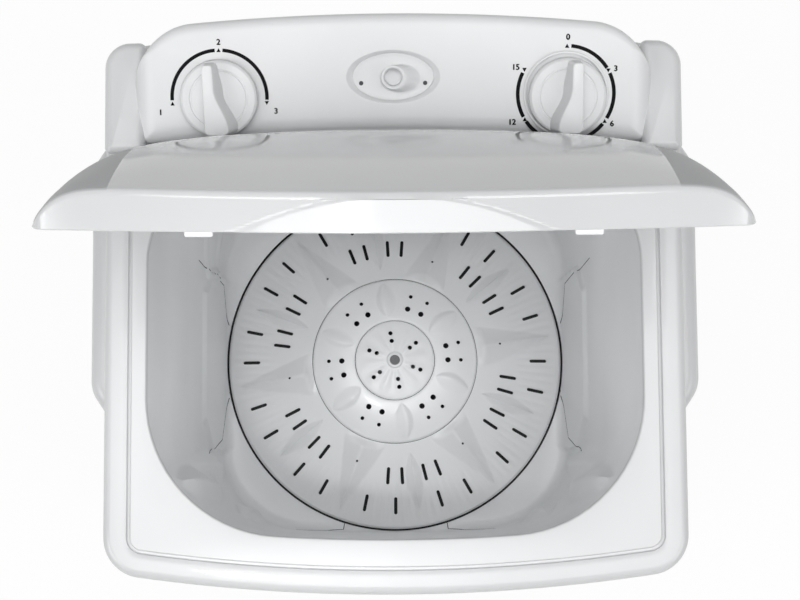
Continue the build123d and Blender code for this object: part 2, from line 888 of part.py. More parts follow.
with BuildPart() as pulsator_screw:
    with BuildSketch(Plane.XY.offset(shaft_top - screw_depth + 1)):
        Circle(bolt_radius)
    extrude(amount=screw_depth + hub_top - 2.5 - shaft_top)
    with BuildSketch(Plane.XY.offset(hub_top - 1.5)):
        Circle(screw_head_radius)
    extrude(amount=2.5)
    with BuildSketch(Plane.XY.offset(hub_top)):
        Rectangle(1.2, 6)
        Rectangle(6, 1.2)
    extrude(amount=1, mode=Mode.SUBTRACT)
save(pulsator_screw, "pulsator_screw")

# Shaft that carries the pulsator and the large pulley
nut_height = 7.0
shaft_foot = pulley_bottom - nut_height - 3.0

with BuildPart() as pulsator_shaft:
    with BuildSketch(Plane.XY.offset(shaft_foot)):
        Circle(shaft_radius)
    extrude(amount=shaft_top - shaft_foot)
    chamfer(pulsator_shaft.faces().sort_by(Axis.Z)[0].edges(), 1)
    with BuildSketch(Plane.XY.offset(shaft_top - screw_depth)):
        Circle(bolt_radius)
    extrude(amount=screw_depth, mode=Mode.SUBTRACT)
save(pulsator_shaft, "pulsator_shaft")

# Bearing housing under the tub, with its bushes, seal and bolts
seal_height = 6.0
hub_crown = well_floor + 2.0
bush_seat = hub_crown - seal_height - bush_length

with BuildPart() as bearing_housing:
    with BuildSketch(Plane.XZ):
        with BuildLine():
            Polyline(
                (bush_radius, hub_crown),
                (hub_radius - seat_gap, hub_crown),
                (hub_radius - seat_gap, bearing_top),
                (bearing_flange_radius, bearing_top),
                (bearing_flange_radius, bracket_top),
                (hub_radius - seat_gap, bracket_top),
                (hub_radius - 3, bearing_bottom),
                (bush_radius, bearing_bottom),
                (bush_radius, bearing_bottom + bush_length),
                (bush_radius - 2, bearing_bottom + bush_length),
                (bush_radius - 2, bush_seat),
                (bush_radius, bush_seat),
                close=True,
            )
        make_face()
    revolve(axis=Axis.Z)
    with BuildSketch(Plane.XY.offset(bracket_top)):
        with PolarLocations(bearing_bolt_circle, bearing_bolt_count):
            Circle(bolt_hole)
    extrude(amount=bearing_flange_height, mode=Mode.SUBTRACT)
save(bearing_housing, "bearing_housing")


def sleeve(inner, outer, bottom, height):
    """A plain ring on the shaft's axis."""
    with BuildPart() as ring:
        with BuildSketch(Plane.XY.offset(bottom)):
            Circle(outer)
            Circle(inner, mode=Mode.SUBTRACT)
        extrude(amount=height)
    return ring


upper_bush = sleeve(shaft_bore, bush_radius, bush_seat, bush_length)
save(upper_bush, "upper_bush")
lower_bush = sleeve(shaft_bore, bush_radius, bearing_bottom, bush_length)
save(lower_bush, "lower_bush")
shaft_seal = sleeve(shaft_bore, bush_radius, hub_crown - seal_height, seal_height)
save(shaft_seal, "shaft_seal")

with BuildPart() as bearing_bolts:
    with BuildSketch(Plane.XY.offset(bracket_bottom)):
        with PolarLocations(bearing_bolt_circle, bearing_bolt_count):
            Circle(bolt_radius)
    extrude(amount=bracket_plate + bearing_flange_height + tub_wall)
    with BuildSketch(Plane.XY.offset(bracket_bottom)):
        with PolarLocations(bearing_bolt_circle, bearing_bolt_count):
            RegularPolygon(2 * bolt_radius, 6)
    extrude(amount=-2.5)
save(bearing_bolts, "bearing_bolts")

# Motor bracket: a plate from the bearing flange out over the motor
motor_lug_angle = motor_angle + 60
lug_height = 5.0

with BuildPart() as motor_bracket:
    with BuildSketch(Plane.XY.offset(bracket_bottom)):
        Circle(bearing_flange_radius)
        with Locations((motor_x, motor_y)):
            Circle(motor_lug_circle + 8)
        make_hull()
        Circle(hub_radius, mode=Mode.SUBTRACT)
        with Locations((motor_x, motor_y)):
            Circle(motor_radius / 2, mode=Mode.SUBTRACT)
            with PolarLocations(motor_lug_circle, 3, start_angle=motor_lug_angle):
                Circle(bolt_hole, mode=Mode.SUBTRACT)
        with PolarLocations(bearing_bolt_circle, bearing_bolt_count):
            Circle(bolt_hole, mode=Mode.SUBTRACT)
    extrude(amount=bracket_plate)
save(motor_bracket, "motor_bracket")

# Motor: a can with cooling grooves and three lugs, hung on rubber mounts
groove_count = 5

with BuildPart() as motor_housing:
    with BuildSketch(Plane.XY.offset(motor_bottom)):
        with Locations((motor_x, motor_y)):
            Circle(motor_radius)
    extrude(amount=motor_top - motor_bottom)
    fillet(motor_housing.faces().sort_by(Axis.Z)[0].edges(), 8)
    for groove in range(groove_count):
        with BuildSketch(Plane.XY.offset(motor_bottom + 14 + 10 * groove)):
            with Locations((motor_x, motor_y)):
                Circle(motor_radius + 1)
                Circle(motor_radius - 2, mode=Mode.SUBTRACT)
        extrude(amount=4, mode=Mode.SUBTRACT)
    with BuildSketch(Plane.XY.offset(motor_top - lug_height)):
        with Locations((motor_x, motor_y)):
            with PolarLocations(motor_lug_circle, 3, start_angle=motor_lug_angle):
                Circle(7)
            with PolarLocations(motor_lug_circle - 8, 3, start_angle=motor_lug_angle):
                Rectangle(16, 14)
    extrude(amount=lug_height)
    with BuildSketch(Plane.XY.offset(motor_top - lug_height)):
        with Locations((motor_x, motor_y)):
            with PolarLocations(motor_lug_circle, 3, start_angle=motor_lug_angle):
                Circle(bolt_hole)
    extrude(amount=lug_height, mode=Mode.SUBTRACT)
    with BuildSketch(Plane.XY.offset(motor_bottom)):
        with Locations((motor_x, motor_y)):
            Circle(motor_shaft_radius + running_gap)
    extrude(amount=rotor_depth, mode=Mode.SUBTRACT)
save(motor_housing, "motor_housing")

with BuildPart() as motor_mounts:
    with BuildSketch(Plane.XY.offset(motor_top)):
        with Locations((motor_x, motor_y)):
            with PolarLocations(motor_lug_circle, 3, start_angle=motor_lug_angle):
                Circle(6.5)
                Circle(bolt_hole, mode=Mode.SUBTRACT)
    extrude(amount=mount_height)
save(motor_mounts, "motor_mounts")

with BuildPart() as motor_bolts:
    with BuildSketch(Plane.XY.offset(motor_top - lug_height)):
        with Locations((motor_x, motor_y)):
            with PolarLocations(motor_lug_circle, 3, start_angle=motor_lug_angle):
                Circle(bolt_radius)
    extrude(amount=lug_height + mount_height + bracket_plate)
    with BuildSketch(Plane.XY.offset(bracket_top)):
        with Locations((motor_x, motor_y)):
            with PolarLocations(motor_lug_circle, 3, start_angle=motor_lug_angle):
                RegularPolygon(2 * bolt_radius, 6)
    extrude(amount=2.5)
save(motor_bolts, "motor_bolts")

with BuildPart() as rotor_shaft:
    with BuildSketch(Plane.XY.offset(pulley_bottom - 3)):
        with Locations((motor_x, motor_y)):
            Circle(motor_shaft_radius)
    extrude(amount=motor_bottom + rotor_depth - 1 - pulley_bottom + 3)
save(rotor_shaft, "rotor_shaft")


def pulley(radius, bore, hub, x, y, holes):
    """A grooved pulley, with lightening holes through its web if it has room for them."""
    web = 4.0
    floor = radius - belt_depth
    groove = belt_width / 2 + seat_gap
    rim_inner = floor - 4
    middle = (hub + rim_inner) / 2
    with BuildPart() as wheel:
        with BuildSketch(Plane.XY.offset(pulley_bottom)):
            with Locations((x, y)):
                Circle(radius)
                Circle(bore, mode=Mode.SUBTRACT)
        extrude(amount=pulley_width)
        with BuildSketch(Plane.XY.offset(belt_height - groove)):
            with Locations((x, y)):
                Circle(radius + 1)
                Circle(floor, mode=Mode.SUBTRACT)
        extrude(amount=2 * groove, mode=Mode.SUBTRACT)
        if holes:
            with BuildSketch(Plane.XY.offset(belt_height + web / 2)):
                with Locations((x, y)):
                    Circle(rim_inner)
                    Circle(hub, mode=Mode.SUBTRACT)
            extrude(amount=pulley_width, mode=Mode.SUBTRACT)
            with BuildSketch(Plane.XY.offset(belt_height - web / 2)):
                with Locations((x, y)):
                    Circle(rim_inner)
                    Circle(hub, mode=Mode.SUBTRACT)
            extrude(amount=-pulley_width, mode=Mode.SUBTRACT)
            with BuildSketch(Plane.XY.offset(belt_height - web)):
                with Locations((x, y)):
                    with PolarLocations(middle, holes):
                        Circle((rim_inner - hub) / 2 - 11)
            extrude(amount=2 * web, mode=Mode.SUBTRACT)
    return wheel


drive_pulley = pulley(pulley_radius, shaft_radius, 2 * shaft_radius, 0, 0, 6)
save(drive_pulley, "drive_pulley")
motor_pulley = pulley(motor_pulley_radius, motor_shaft_radius, 0, motor_x, motor_y, 0)
save(motor_pulley, "motor_pulley")

with BuildPart() as pulley_nut:
    with BuildSketch(Plane.XY.offset(pulley_bottom)):
        RegularPolygon(bush_radius, 6)
        Circle(shaft_radius, mode=Mode.SUBTRACT)
    extrude(amount=-nut_height)
save(pulley_nut, "pulley_nut")

# Drive belt: a loop round both pulleys, just clear of the groove floors
belt_inner = pulley_radius - belt_depth + seat_gap
small_inner = motor_pulley_radius - belt_depth + seat_gap

with BuildPart() as drive_belt:
    with BuildSketch(Plane.XY.offset(belt_height - belt_width / 2)):
        Circle(belt_inner + belt_thickness)
        with Locations((motor_x, motor_y)):
            Circle(small_inner + belt_thickness)
        make_hull()
    extrude(amount=belt_width)
    with BuildSketch(Plane.XY.offset(belt_height - belt_width / 2)):
        Circle(belt_inner)
        with Locations((motor_x, motor_y)):
            Circle(small_inner)
        make_hull()
    extrude(amount=belt_width, mode=Mode.SUBTRACT)
save(drive_belt, "drive_belt")

# Drain valve: a chamber under the well, closed from below by a sprung plug
valve_top = tub_underside
valve_bottom = valve_top - valve_height
chamber_top = valve_top - 2 * wall
chamber_floor = valve_bottom + wall
chamber_radius = valve_radius - 4
rod_radius = 3.0

with BuildPart() as drain_valve_body:
    with BuildSketch(Plane.XY.offset(valve_bottom)):
        with Locations((drain_x, drain_y)):
            Circle(valve_radius)
    extrude(amount=valve_height)
    with BuildSketch(Plane.XY.offset(chamber_floor)):
        with Locations((drain_x, drain_y)):
            Circle(chamber_radius)
    extrude(amount=chamber_top - chamber_floor, mode=Mode.SUBTRACT)
    with BuildSketch(Plane.XY.offset(chamber_top)):
        with Locations((drain_x, drain_y)):
            Circle(drain_hole_radius)
    extrude(amount=2 * wall, mode=Mode.SUBTRACT)
    with BuildSketch(Plane.XY.offset(valve_bottom)):
        with Locations((drain_x, drain_y)):
            Circle(rod_radius + running_gap)
    extrude(amount=wall, mode=Mode.SUBTRACT)
    with BuildSketch(Plane.XZ.offset(-drain_y)):
        with Locations((drain_x, outlet_height)):
            Circle(spigot_radius)
    extrude(amount=-valve_radius - 1, mode=Mode.SUBTRACT)
save(drain_valve_body, "drain_valve_body")

plug_top = chamber_top - seat_gap / 3
plug_foot = plug_top - plug_height

with BuildPart() as drain_plug:
    with BuildSketch(Plane.XY.offset(plug_foot)):
        with Locations((drain_x, drain_y)):
            Circle(plug_radius)
    extrude(amount=plug_height)
    with BuildSketch(Plane.XY.offset(valve_bottom - 2 * drain_lift)):
        with Locations((drain_x, drain_y)):
            Circle(rod_radius)
    extrude(amount=plug_foot - valve_bottom + 2 * drain_lift)
save(drain_plug, "drain_plug")

spring_radius = 9.0
wire_radius = 1.0
spring_turns = 4
spring_length = plug_foot - chamber_floor - 2 * wire_radius

with BuildPart() as drain_spring:
    with BuildLine():
        coil = Helix(
            spring_length / spring_turns,
            spring_length,
            spring_radius,
            center=(drain_x, drain_y, chamber_floor + wire_radius),
        )
    with BuildSketch(Plane(origin=coil @ 0, z_dir=coil % 0)):
        Circle(wire_radius)
    sweep()
save(drain_spring, "drain_spring")

# Drain outlet: a tube out through the back with a socket for the hose, joined by the overflow
outlet_start = drain_y + chamber_radius
outlet_end = back + spigot_reach

with BuildPart() as drain_outlet:
    with BuildSketch(Plane.XZ.offset(-outlet_start)):
        with Locations((drain_x, outlet_height)):
            Circle(spigot_radius)
    extrude(amount=-(outlet_end - outlet_start))
    with BuildSketch(Plane.XZ.offset(-(back - wall))):
        with Locations((drain_x, outlet_height)):
            Circle(spigot_collar)
    extrude(amount=3)
    with BuildSketch(Plane.XZ.offset(-outlet_start)):
        with Locations((drain_x, outlet_height)):
            Circle(spigot_radius - spigot_wall - spigot_shoulder)
    extrude(amount=-(outlet_end - outlet_start), mode=Mode.SUBTRACT)
    with BuildSketch(Plane.XZ.offset(-outlet_end)):
        with Locations((drain_x, outlet_height)):
            Circle(spigot_radius - spigot_wall)
    extrude(amount=spigot_socket, mode=Mode.SUBTRACT)
    with BuildSketch(Plane.YZ.offset(drain_x)):
        with Locations((overflow_y, outlet_height)):
            Circle(overflow_radius)
    extrude(amount=-spigot_radius, mode=Mode.SUBTRACT)
save(drain_outlet, "drain_outlet")

with BuildPart() as overflow_pipe:
    with BuildLine() as overflow_path:
        FilletPolyline(
            overflow_mouth,
            (overflow_x, overflow_y, overflow_height),
            (overflow_x, overflow_y, outlet_height),
            (drain_x - spigot_radius / 2, overflow_y, outlet_height),
            radius=overflow_bend,
        )
    with BuildSketch(Plane(origin=overflow_mouth, z_dir=overflow_out)):
        Circle(overflow_outer)
        Circle(overflow_radius, mode=Mode.SUBTRACT)
    sweep()
    with BuildSketch(Plane.XZ.offset(-outlet_start)):
        with Locations((drain_x, outlet_height)):
            Circle(spigot_radius)
    extrude(amount=-(back - outlet_start), mode=Mode.SUBTRACT)
save(overflow_pipe, "overflow_pipe")

# Overflow grille: a slotted disc plugged into the pipe
grille_radius = 14.0
grille_back = overflow_mouth - overflow_out * 2

with BuildPart() as overflow_grille:
    with BuildSketch(Plane(origin=grille_back, z_dir=overflow_out)):
        Circle(grille_radius)
    extrude(amount=-2)
    with BuildSketch(Plane(origin=grille_back, z_dir=overflow_out)):
        Circle(overflow_radius)
    extrude(amount=8)
    with BuildSketch(Plane(origin=grille_back, x_dir=(0, 0, 1), z_dir=overflow_out)):
        with GridLocations(1, 4.0, 1, 3):
            SlotOverall(11, 2)
    extrude(amount=8, both=True, mode=Mode.SUBTRACT)
save(overflow_grille, "overflow_grille")

# Capacitor on the base floor, its clip, and the cord gland in the back
capacitor_radius = 17.0
capacitor_side_gap = 35.9
capacitor_x = capacitor_side_gap + capacitor_radius + wall - cabinet_half
capacitor_height = 50.0
base_floor = foot_height + wall

with BuildPart() as capacitor:
    with BuildSketch(Plane.XY.offset(base_floor)):
        with Locations((capacitor_x, 0)):
            Circle(capacitor_radius)
    extrude(amount=capacitor_height)
    chamfer(capacitor.faces().sort_by(Axis.Z)[-1].edges(), 2)
save(capacitor, "capacitor")

with BuildPart() as capacitor_clip:
    with BuildSketch(Plane.XY.offset(base_floor)):
        with Locations((capacitor_x, 0)):
            SlotOverall(4 * capacitor_radius, 16, rotation=90)
            Circle(capacitor_radius + 2)
            Circle(capacitor_radius, mode=Mode.SUBTRACT)
    extrude(amount=2)
    with BuildSketch(Plane.XY.offset(base_floor)):
        with Locations((capacitor_x, 0)):
            Circle(capacitor_radius + 2)
            Circle(capacitor_radius, mode=Mode.SUBTRACT)
    extrude(amount=20)
save(capacitor_clip, "capacitor_clip")

with BuildPart() as cord_gland:
    with BuildSketch(Plane.XZ.offset(-back)):
        with Locations((gland_x, gland_height)):
            Circle(gland_radius + 3)
    extrude(amount=-3)
    with BuildSketch(Plane.XZ.offset(-back)):
        with Locations((gland_x, gland_height)):
            Circle(gland_radius)
    extrude(amount=wall)
    with BuildSketch(Plane.XZ.offset(-back + wall)):
        with Locations((gland_x, gland_height)):
            RegularPolygon(gland_radius + 4, 6)
    extrude(amount=4)
    with BuildSketch(Plane.XZ.offset(-back - 3)):
        with Locations((gland_x, gland_height)):
            Circle(gland_bore)
    extrude(amount=wall + 8, mode=Mode.SUBTRACT)
save(cord_gland, "cord_gland")


# Lid: a domed shell over the whole rim, drawn at its open angle
def lid_block(inset):
    """Volume of the lid inside an inset, from the loft of its cross sections."""
    plan = plan_outline(
        rim_half - inset,
        lid_front - inset,
        lid_rear - inset,
        lid_front_corner - inset,
        lid_rear_corner - inset,
    )
    with BuildPart() as block:
        for reach, crown, side, corner in lid_sections:
            station = Plane(
                origin=hinge_point + lid_along * reach, x_dir=(1, 0, 0), z_dir=lid_along
            )
            with BuildSketch(station) as section:
                with BuildLine():
                    Polyline(
                        (-rim_half, side - inset),
                        (-rim_half, lid_rim - inset),
                        (rim_half, lid_rim - inset),
                        (rim_half, side - inset),
                    )
                    ThreePointArc(
                        (rim_half, side - inset), (0, crown - inset), (-rim_half, side - inset)
                    )
                make_face()
                fillet(section.vertices().group_by(Axis.Y)[-1], corner - inset / 2)
        loft()
        with BuildSketch(lid_plane.offset(lid_rim - 2 * lid_wall)):
            add(plan)
            with BuildLine():
                Line((-grip_half_width, inset - grip_base), (grip_half_width, inset - grip_base))
                ThreePointArc(
                    (grip_half_width, inset - grip_base),
                    (0, inset - lid_front - grip_bulge),
                    (-grip_half_width, inset - grip_base),
                )
            make_face()
        extrude(amount=max(lid_crown) + 3 * lid_wall, mode=Mode.INTERSECT)
    return block


grip_base = lid_front - bow(grip_half_width)
lid_reaches = (*lid_stations, lid_front + lid_overrun)
lid_sections = list(zip(lid_reaches, lid_crown, lid_sides, lid_corners))
lid_inside = lid_block(lid_wall)

with BuildPart() as lid:
    add(lid_block(0).part)
    add(lid_inside.part, mode=Mode.SUBTRACT)
    for side in (1, -1):
        # hinge lug beside each frame ear, and the notch the ear stands in
        with BuildSketch(Plane.YZ.offset(side * lug_x - ear_width / 2)):
            with Locations((hinge_y, hinge_z)):
                Circle(lug_radius)
        extrude(amount=ear_width)
        notch = Plane(
            origin=hinge_point + Vector(side * ear_x - ear_width / 2 - ear_gap, 0, 0),
            x_dir=lid_along,
            z_dir=(1, 0, 0),
        )
        with BuildSketch(notch):
            Rectangle(2 * notch_reach, 4 * notch_reach)
        extrude(amount=ear_width + 2 * ear_gap, mode=Mode.SUBTRACT)
        with BuildSketch(Plane.YZ.offset(side * lug_x - ear_width / 2)):
            with Locations((hinge_y, hinge_z)):
                Circle(pin_radius)
        extrude(amount=ear_width, mode=Mode.SUBTRACT)
save(lid, "lid")

with BuildPart() as lid_hinge_pins:
    with BuildSketch(Plane.YZ.offset(lug_x - ear_width / 2)):
        with Locations((hinge_y, hinge_z)):
            Circle(pin_radius)
    extrude(amount=ear_x - lug_x + ear_width + ear_gap / 2)
    mirror(about=Plane.YZ)
save(lid_hinge_pins, "lid_hinge_pins")

# Rubber bumpers inside the lid's front wall
bumper_y = bow(bumper_x) - lid_front + lid_wall + bumper_size[1] / 2 - 1
with BuildPart() as lid_bumpers:
    with BuildSketch(lid_plane.offset(bumper_foot)):
        for side in (1, -1):
            with Locations((side * bumper_x, bumper_y)):
                Rectangle(*bumper_size)
    extrude(amount=bumper_length)
    add(lid.part, mode=Mode.SUBTRACT)
save(lid_bumpers, "lid_bumpers")


# Control housing with its rings, dial bosses, inlet recess and screw posts
def housing_block(inset):
    """Volume of the control housing inside an inset."""
    with BuildPart() as block:
        with BuildSketch(Plane.YZ.offset(-housing_half_width)):
            with BuildLine():
                Polyline(
                    (housing_front_side, rim_height + face_front_height - inset),
                    (housing_front_side, rim_height),
                    (housing_rear, rim_height),
                    (housing_rear, rim_height + face_rear_height - inset),
                )
                ThreePointArc(
                    (housing_rear, rim_height + face_rear_height - inset),
                    (face_middle, rim_height + face_height(face_middle) - inset),
                    (housing_front_side, rim_height + face_front_height - inset),
                )
            make_face()
        extrude(amount=2 * housing_half_width)
        with BuildSketch(Plane.XY.offset(rim_height)):
            add(housing_outline(inset))
        extrude(amount=2 * face_rear_height, mode=Mode.INTERSECT)
    return block


face_middle = (housing_front_side + housing_rear) / 2
left_dial = face_plane(-dial_x, dial_y)
right_dial = face_plane(dial_x, dial_y)
inlet_plane = face_plane(0, inlet_y)
boss_foot = -housing_wall - dial_boss_depth
inlet_floor = -inlet_recess - wall

with BuildPart() as dial_seats:
    for dial in (left_dial, right_dial):
        with BuildSketch(dial.offset(-housing_wall)):
            Circle(dial_seat_radius)
        extrude(amount=housing_wall + dial_seat_height)
    with BuildSketch(Plane.XY.offset(rim_height)):
        add(housing_outline(0))
    extrude(amount=2 * face_rear_height, mode=Mode.INTERSECT)

with BuildPart() as control_housing:
    add(housing_block(0).part)
    fillet(control_housing.faces().sort_by(Axis.Z)[-1].edges(), housing_round)
    add(dial_seats.part)
    add(housing_block(housing_wall).part, mode=Mode.SUBTRACT)
    for dial in (left_dial, right_dial):
        with BuildSketch(dial.offset(boss_foot)):
            Circle(dial_boss_radius)
        extrude(amount=dial_boss_depth + 1)
    with BuildSketch(inlet_plane.offset(inlet_floor)):
        Ellipse(inlet_half_length + wall, inlet_half_width + wall)
    extrude(amount=inlet_recess + wall - 1)
    with BuildSketch(inlet_plane.offset(-inlet_recess)):
        Ellipse(inlet_half_length, inlet_half_width)
    extrude(amount=2 * inlet_recess, mode=Mode.SUBTRACT)
    with BuildSketch(inlet_plane.offset(inlet_floor)):
        Circle(pipe_radius)
        with Locations((-inlet_screw_x, 0), (inlet_screw_x, 0)):
            Circle(inlet_screw_radius)
    extrude(amount=wall, mode=Mode.SUBTRACT)
    for dial in (left_dial, right_dial):
        with BuildSketch(dial.offset(boss_foot)):
            Circle(dial_shaft_radius + 1)
        extrude(amount=-boss_foot + 2 * dial_seat_height, mode=Mode.SUBTRACT)
    with BuildSketch(Plane.XY.offset(rim_height)):
        for place_x, place_y in housing_screw_places:
            with Locations((place_x, place_y)):
                Circle(3 * bolt_radius)
            with Locations((place_x, place_y + post_rib / 2)):
                Rectangle(3 * bolt_radius, post_rib)
    extrude(amount=housing_screw_depth + 4)
    with BuildSketch(Plane.XY.offset(rim_height)):
        with Locations(*housing_screw_places):
            Circle(bolt_radius)
    extrude(amount=housing_screw_depth, mode=Mode.SUBTRACT)
save(control_housing, "control_housing")

with BuildPart() as control_housing_screws:
    with BuildSketch(Plane.XY.offset(frame_underside)):
        with Locations(*housing_screw_places):
            Circle(bolt_radius)
    extrude(amount=frame_plate + housing_screw_depth - 4)
    with BuildSketch(Plane.XY.offset(frame_underside)):
        with Locations(*housing_screw_places):
            Circle(2 * bolt_radius)
    extrude(amount=-2)
save(control_housing_screws, "control_housing_screws")

# Water inlet: an oval insert with a cone nozzle, held by two screws
with BuildPart() as water_inlet:
    with BuildSketch(inlet_plane.offset(-inlet_recess)):
        Ellipse(inlet_half_length - seat_gap, inlet_half_width - seat_gap)
    extrude(amount=2)
    with BuildSketch(inlet_plane.offset(-inlet_recess)):
        Circle(nozzle_base_radius)
    with BuildSketch(inlet_plane.offset(nozzle_height - inlet_recess)):
        Circle(nozzle_tip_radius)
    loft()
    with BuildSketch(inlet_plane.offset(-inlet_recess)):
        Circle(pipe_radius)
    extrude(amount=-wall)
    with BuildSketch(inlet_plane.offset(inlet_floor)):
        Circle(inlet_bore)
        with Locations((-inlet_screw_x, 0), (inlet_screw_x, 0)):
            Circle(inlet_screw_radius + 0.1)
    extrude(amount=3 * nozzle_height, mode=Mode.SUBTRACT)
save(water_inlet, "water_inlet")

with BuildPart() as inlet_screws:
    with BuildSketch(inlet_plane.offset(inlet_floor)):
        with Locations((-inlet_screw_x, 0), (inlet_screw_x, 0)):
            Circle(inlet_screw_radius)
    extrude(amount=wall + 2)
    with BuildSketch(inlet_plane.offset(2 - inlet_recess)):
        with Locations((-inlet_screw_x, 0), (inlet_screw_x, 0)):
            Circle(2 * inlet_screw_radius)
    extrude(amount=1.6)
save(inlet_screws, "inlet_screws")

# Inlet pipe: from the nozzle down through the frame into the tub
pipe_top = inlet_plane.offset(inlet_floor).origin
pipe_knee = inlet_plane.offset(-30).origin
pipe_end = Vector(0, pipe_knee.Y, frame_underside - 10)

with BuildPart() as inlet_pipe:
    with BuildLine() as pipe_path:
        FilletPolyline(pipe_top, pipe_knee, pipe_end, radius=15)
    with BuildSketch(inlet_plane.offset(inlet_floor)):
        Circle(pipe_radius)
        Circle(inlet_pipe_bore, mode=Mode.SUBTRACT)
    sweep()
save(inlet_pipe, "inlet_pipe")

# Selector switch and timer under their bosses
shaft_depth = 16.0

with BuildPart() as selector_body:
    with BuildSketch(left_dial.offset(boss_foot)):
        Circle(switch_radius)
    extrude(amount=-switch_size[2])
    with BuildSketch(left_dial.offset(boss_foot)):
        Circle(dial_shaft_radius + running_gap)
    extrude(amount=-shaft_depth - 1, mode=Mode.SUBTRACT)
save(selector_body, "selector_body")

with BuildPart() as timer_body:
    with BuildSketch(right_dial.offset(boss_foot)):
        RectangleRounded(switch_size[0], switch_size[1], 4)
    extrude(amount=-switch_size[2])
    with BuildSketch(right_dial.offset(boss_foot)):
        Circle(dial_shaft_radius + running_gap)
    extrude(amount=-shaft_depth - 1, mode=Mode.SUBTRACT)
save(timer_body, "timer_body")

# Dial knobs and their shafts
knob_foot = dial_seat_height + knob_clearance
knob_socket = knob_height + 3


def dial_shaft(dial):
    """Round shaft from inside the switch up into the knob."""
    with BuildPart() as shaft:
        with BuildSketch(dial.offset(boss_foot - shaft_depth)):
            Circle(dial_shaft_radius)
        extrude(amount=shaft_depth - boss_foot + knob_foot + knob_socket)
    return shaft


def dial_knob(dial, side):
    """Disc with a raised grip across it, one of whose faces flares."""
    reach = knob_radius * 0.92
    grip = [
        (-side * grip_width / 2, -reach),
        (side * (grip_flare - grip_width / 2), -reach),
        (side * grip_width / 2, reach),
        (-side * grip_width / 2, reach),
    ]
    with BuildPart() as knob:
        with BuildSketch(dial.offset(knob_foot)):
            Circle(knob_radius)
        extrude(amount=knob_height)
        fillet(knob.faces().sort_by(Axis(dial.origin, dial.z_dir))[-1].edges(), 2)
        with BuildSketch(dial.offset(knob_foot + knob_height - 1)):
            with BuildLine():
                Polyline(*grip[::side], close=True)
            make_face()
        extrude(amount=grip_height + 1, taper=6)
        with BuildSketch(dial.offset(knob_foot)):
            Circle(dial_shaft_radius)
        extrude(amount=knob_socket, mode=Mode.SUBTRACT)
        with BuildSketch(dial.offset(knob_foot)):
            Circle(knob_radius)
        extrude(amount=knob_height + grip_height, mode=Mode.INTERSECT)
    return knob


selector_shaft = dial_shaft(left_dial)
save(selector_shaft, "selector_shaft")
selector_knob = dial_knob(left_dial, 1)
save(selector_knob, "selector_knob")
timer_shaft = dial_shaft(right_dial)
save(timer_shaft, "timer_shaft")
timer_knob = dial_knob(right_dial, -1)
save(timer_knob, "timer_knob")
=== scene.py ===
import json
import math

import bmesh
import bpy
from mathutils import Matrix, Vector
from mathutils.bvhtree import BVHTree

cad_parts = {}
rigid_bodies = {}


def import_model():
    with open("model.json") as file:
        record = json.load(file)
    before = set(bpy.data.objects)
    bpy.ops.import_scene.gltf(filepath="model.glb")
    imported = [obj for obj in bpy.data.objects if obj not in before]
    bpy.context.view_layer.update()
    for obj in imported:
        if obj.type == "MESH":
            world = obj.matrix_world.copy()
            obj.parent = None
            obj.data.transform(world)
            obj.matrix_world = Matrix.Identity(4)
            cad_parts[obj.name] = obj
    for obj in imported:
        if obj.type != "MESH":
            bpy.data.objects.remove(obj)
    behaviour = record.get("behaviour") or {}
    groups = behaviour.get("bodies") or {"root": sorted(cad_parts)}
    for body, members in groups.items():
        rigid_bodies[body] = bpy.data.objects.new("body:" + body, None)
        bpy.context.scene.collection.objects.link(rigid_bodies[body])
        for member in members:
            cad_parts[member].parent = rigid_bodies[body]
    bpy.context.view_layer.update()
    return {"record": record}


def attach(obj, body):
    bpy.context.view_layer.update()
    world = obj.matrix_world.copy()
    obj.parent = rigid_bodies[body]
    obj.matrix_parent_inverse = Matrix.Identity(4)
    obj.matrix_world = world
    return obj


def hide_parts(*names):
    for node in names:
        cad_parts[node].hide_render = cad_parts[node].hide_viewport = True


# Washing machine seen from above with its lid open. Lengths in the code are millimetres
# and become metres where a mesh is made.
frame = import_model()

MM = 0.001
MACHINE = "machine"
LID = "lid_leaf"
PULSATOR = "pulsator"

# Sizes shared with the solids
RIM = dict(half=209.5, front=202.0, rear=199.0, front_corner=29.0, back_corner=34.0)
RIM_TOP = 690.0
MOUTH = dict(half=178.5, front=162.6, rear=104.0, front_corner=99.0, back_corner=67.0)
TUB_TOP = dict(half=178.5, front=162.6, rear=178.0, front_corner=99.0, back_corner=60.0)
TUB_MIDDLE = dict(half=175.5, front=162.8, rear=172.0, front_corner=90.0, back_corner=66.0)
TUB_FLOOR = dict(half=164.5, front=163.2, rear=163.2, front_corner=78.0, back_corner=78.0)
FLOOR_HEIGHT = 212.0
FOOT_HEIGHT = 222
MIDDLE_HEIGHT = 427.0
FRAME_UNDERSIDE = 686.0
WELL_FLOOR = 198.0
WELL_RADIUS = 161.6
TUB_WALL = 3.0
TUB_FLANGE = 13.0
PULSATOR_RADIUS = 160.0
RING_RADIUS = 78.5
HUB_RADIUS = 37.6
MAIN_RIB_ANGLE = 9.0
MINOR_RIB_ANGLE = 39.0

HOUSING_HALF = 181.2
HOUSING_REAR = 202.0
HOUSING_FRONT_MIDDLE = 123.0
HOUSING_FRONT_SIDE = 114.9
HOUSING_BOW = 1600.0
FACE_FRONT = 54.0
FACE_REAR = 80.0
FACE_CROWN = 2.0
HOUSING_FRONT_CORNER = 10
HOUSING_BACK_CORNER = 41
DIAL_X = 121.0
DIAL_Y = 144.5
INLET_Y = 157.5
SELECTOR_CENTRE = (-DIAL_X, DIAL_Y)
TIMER_CENTRE = (DIAL_X - 0.8, DIAL_Y + 1.2)

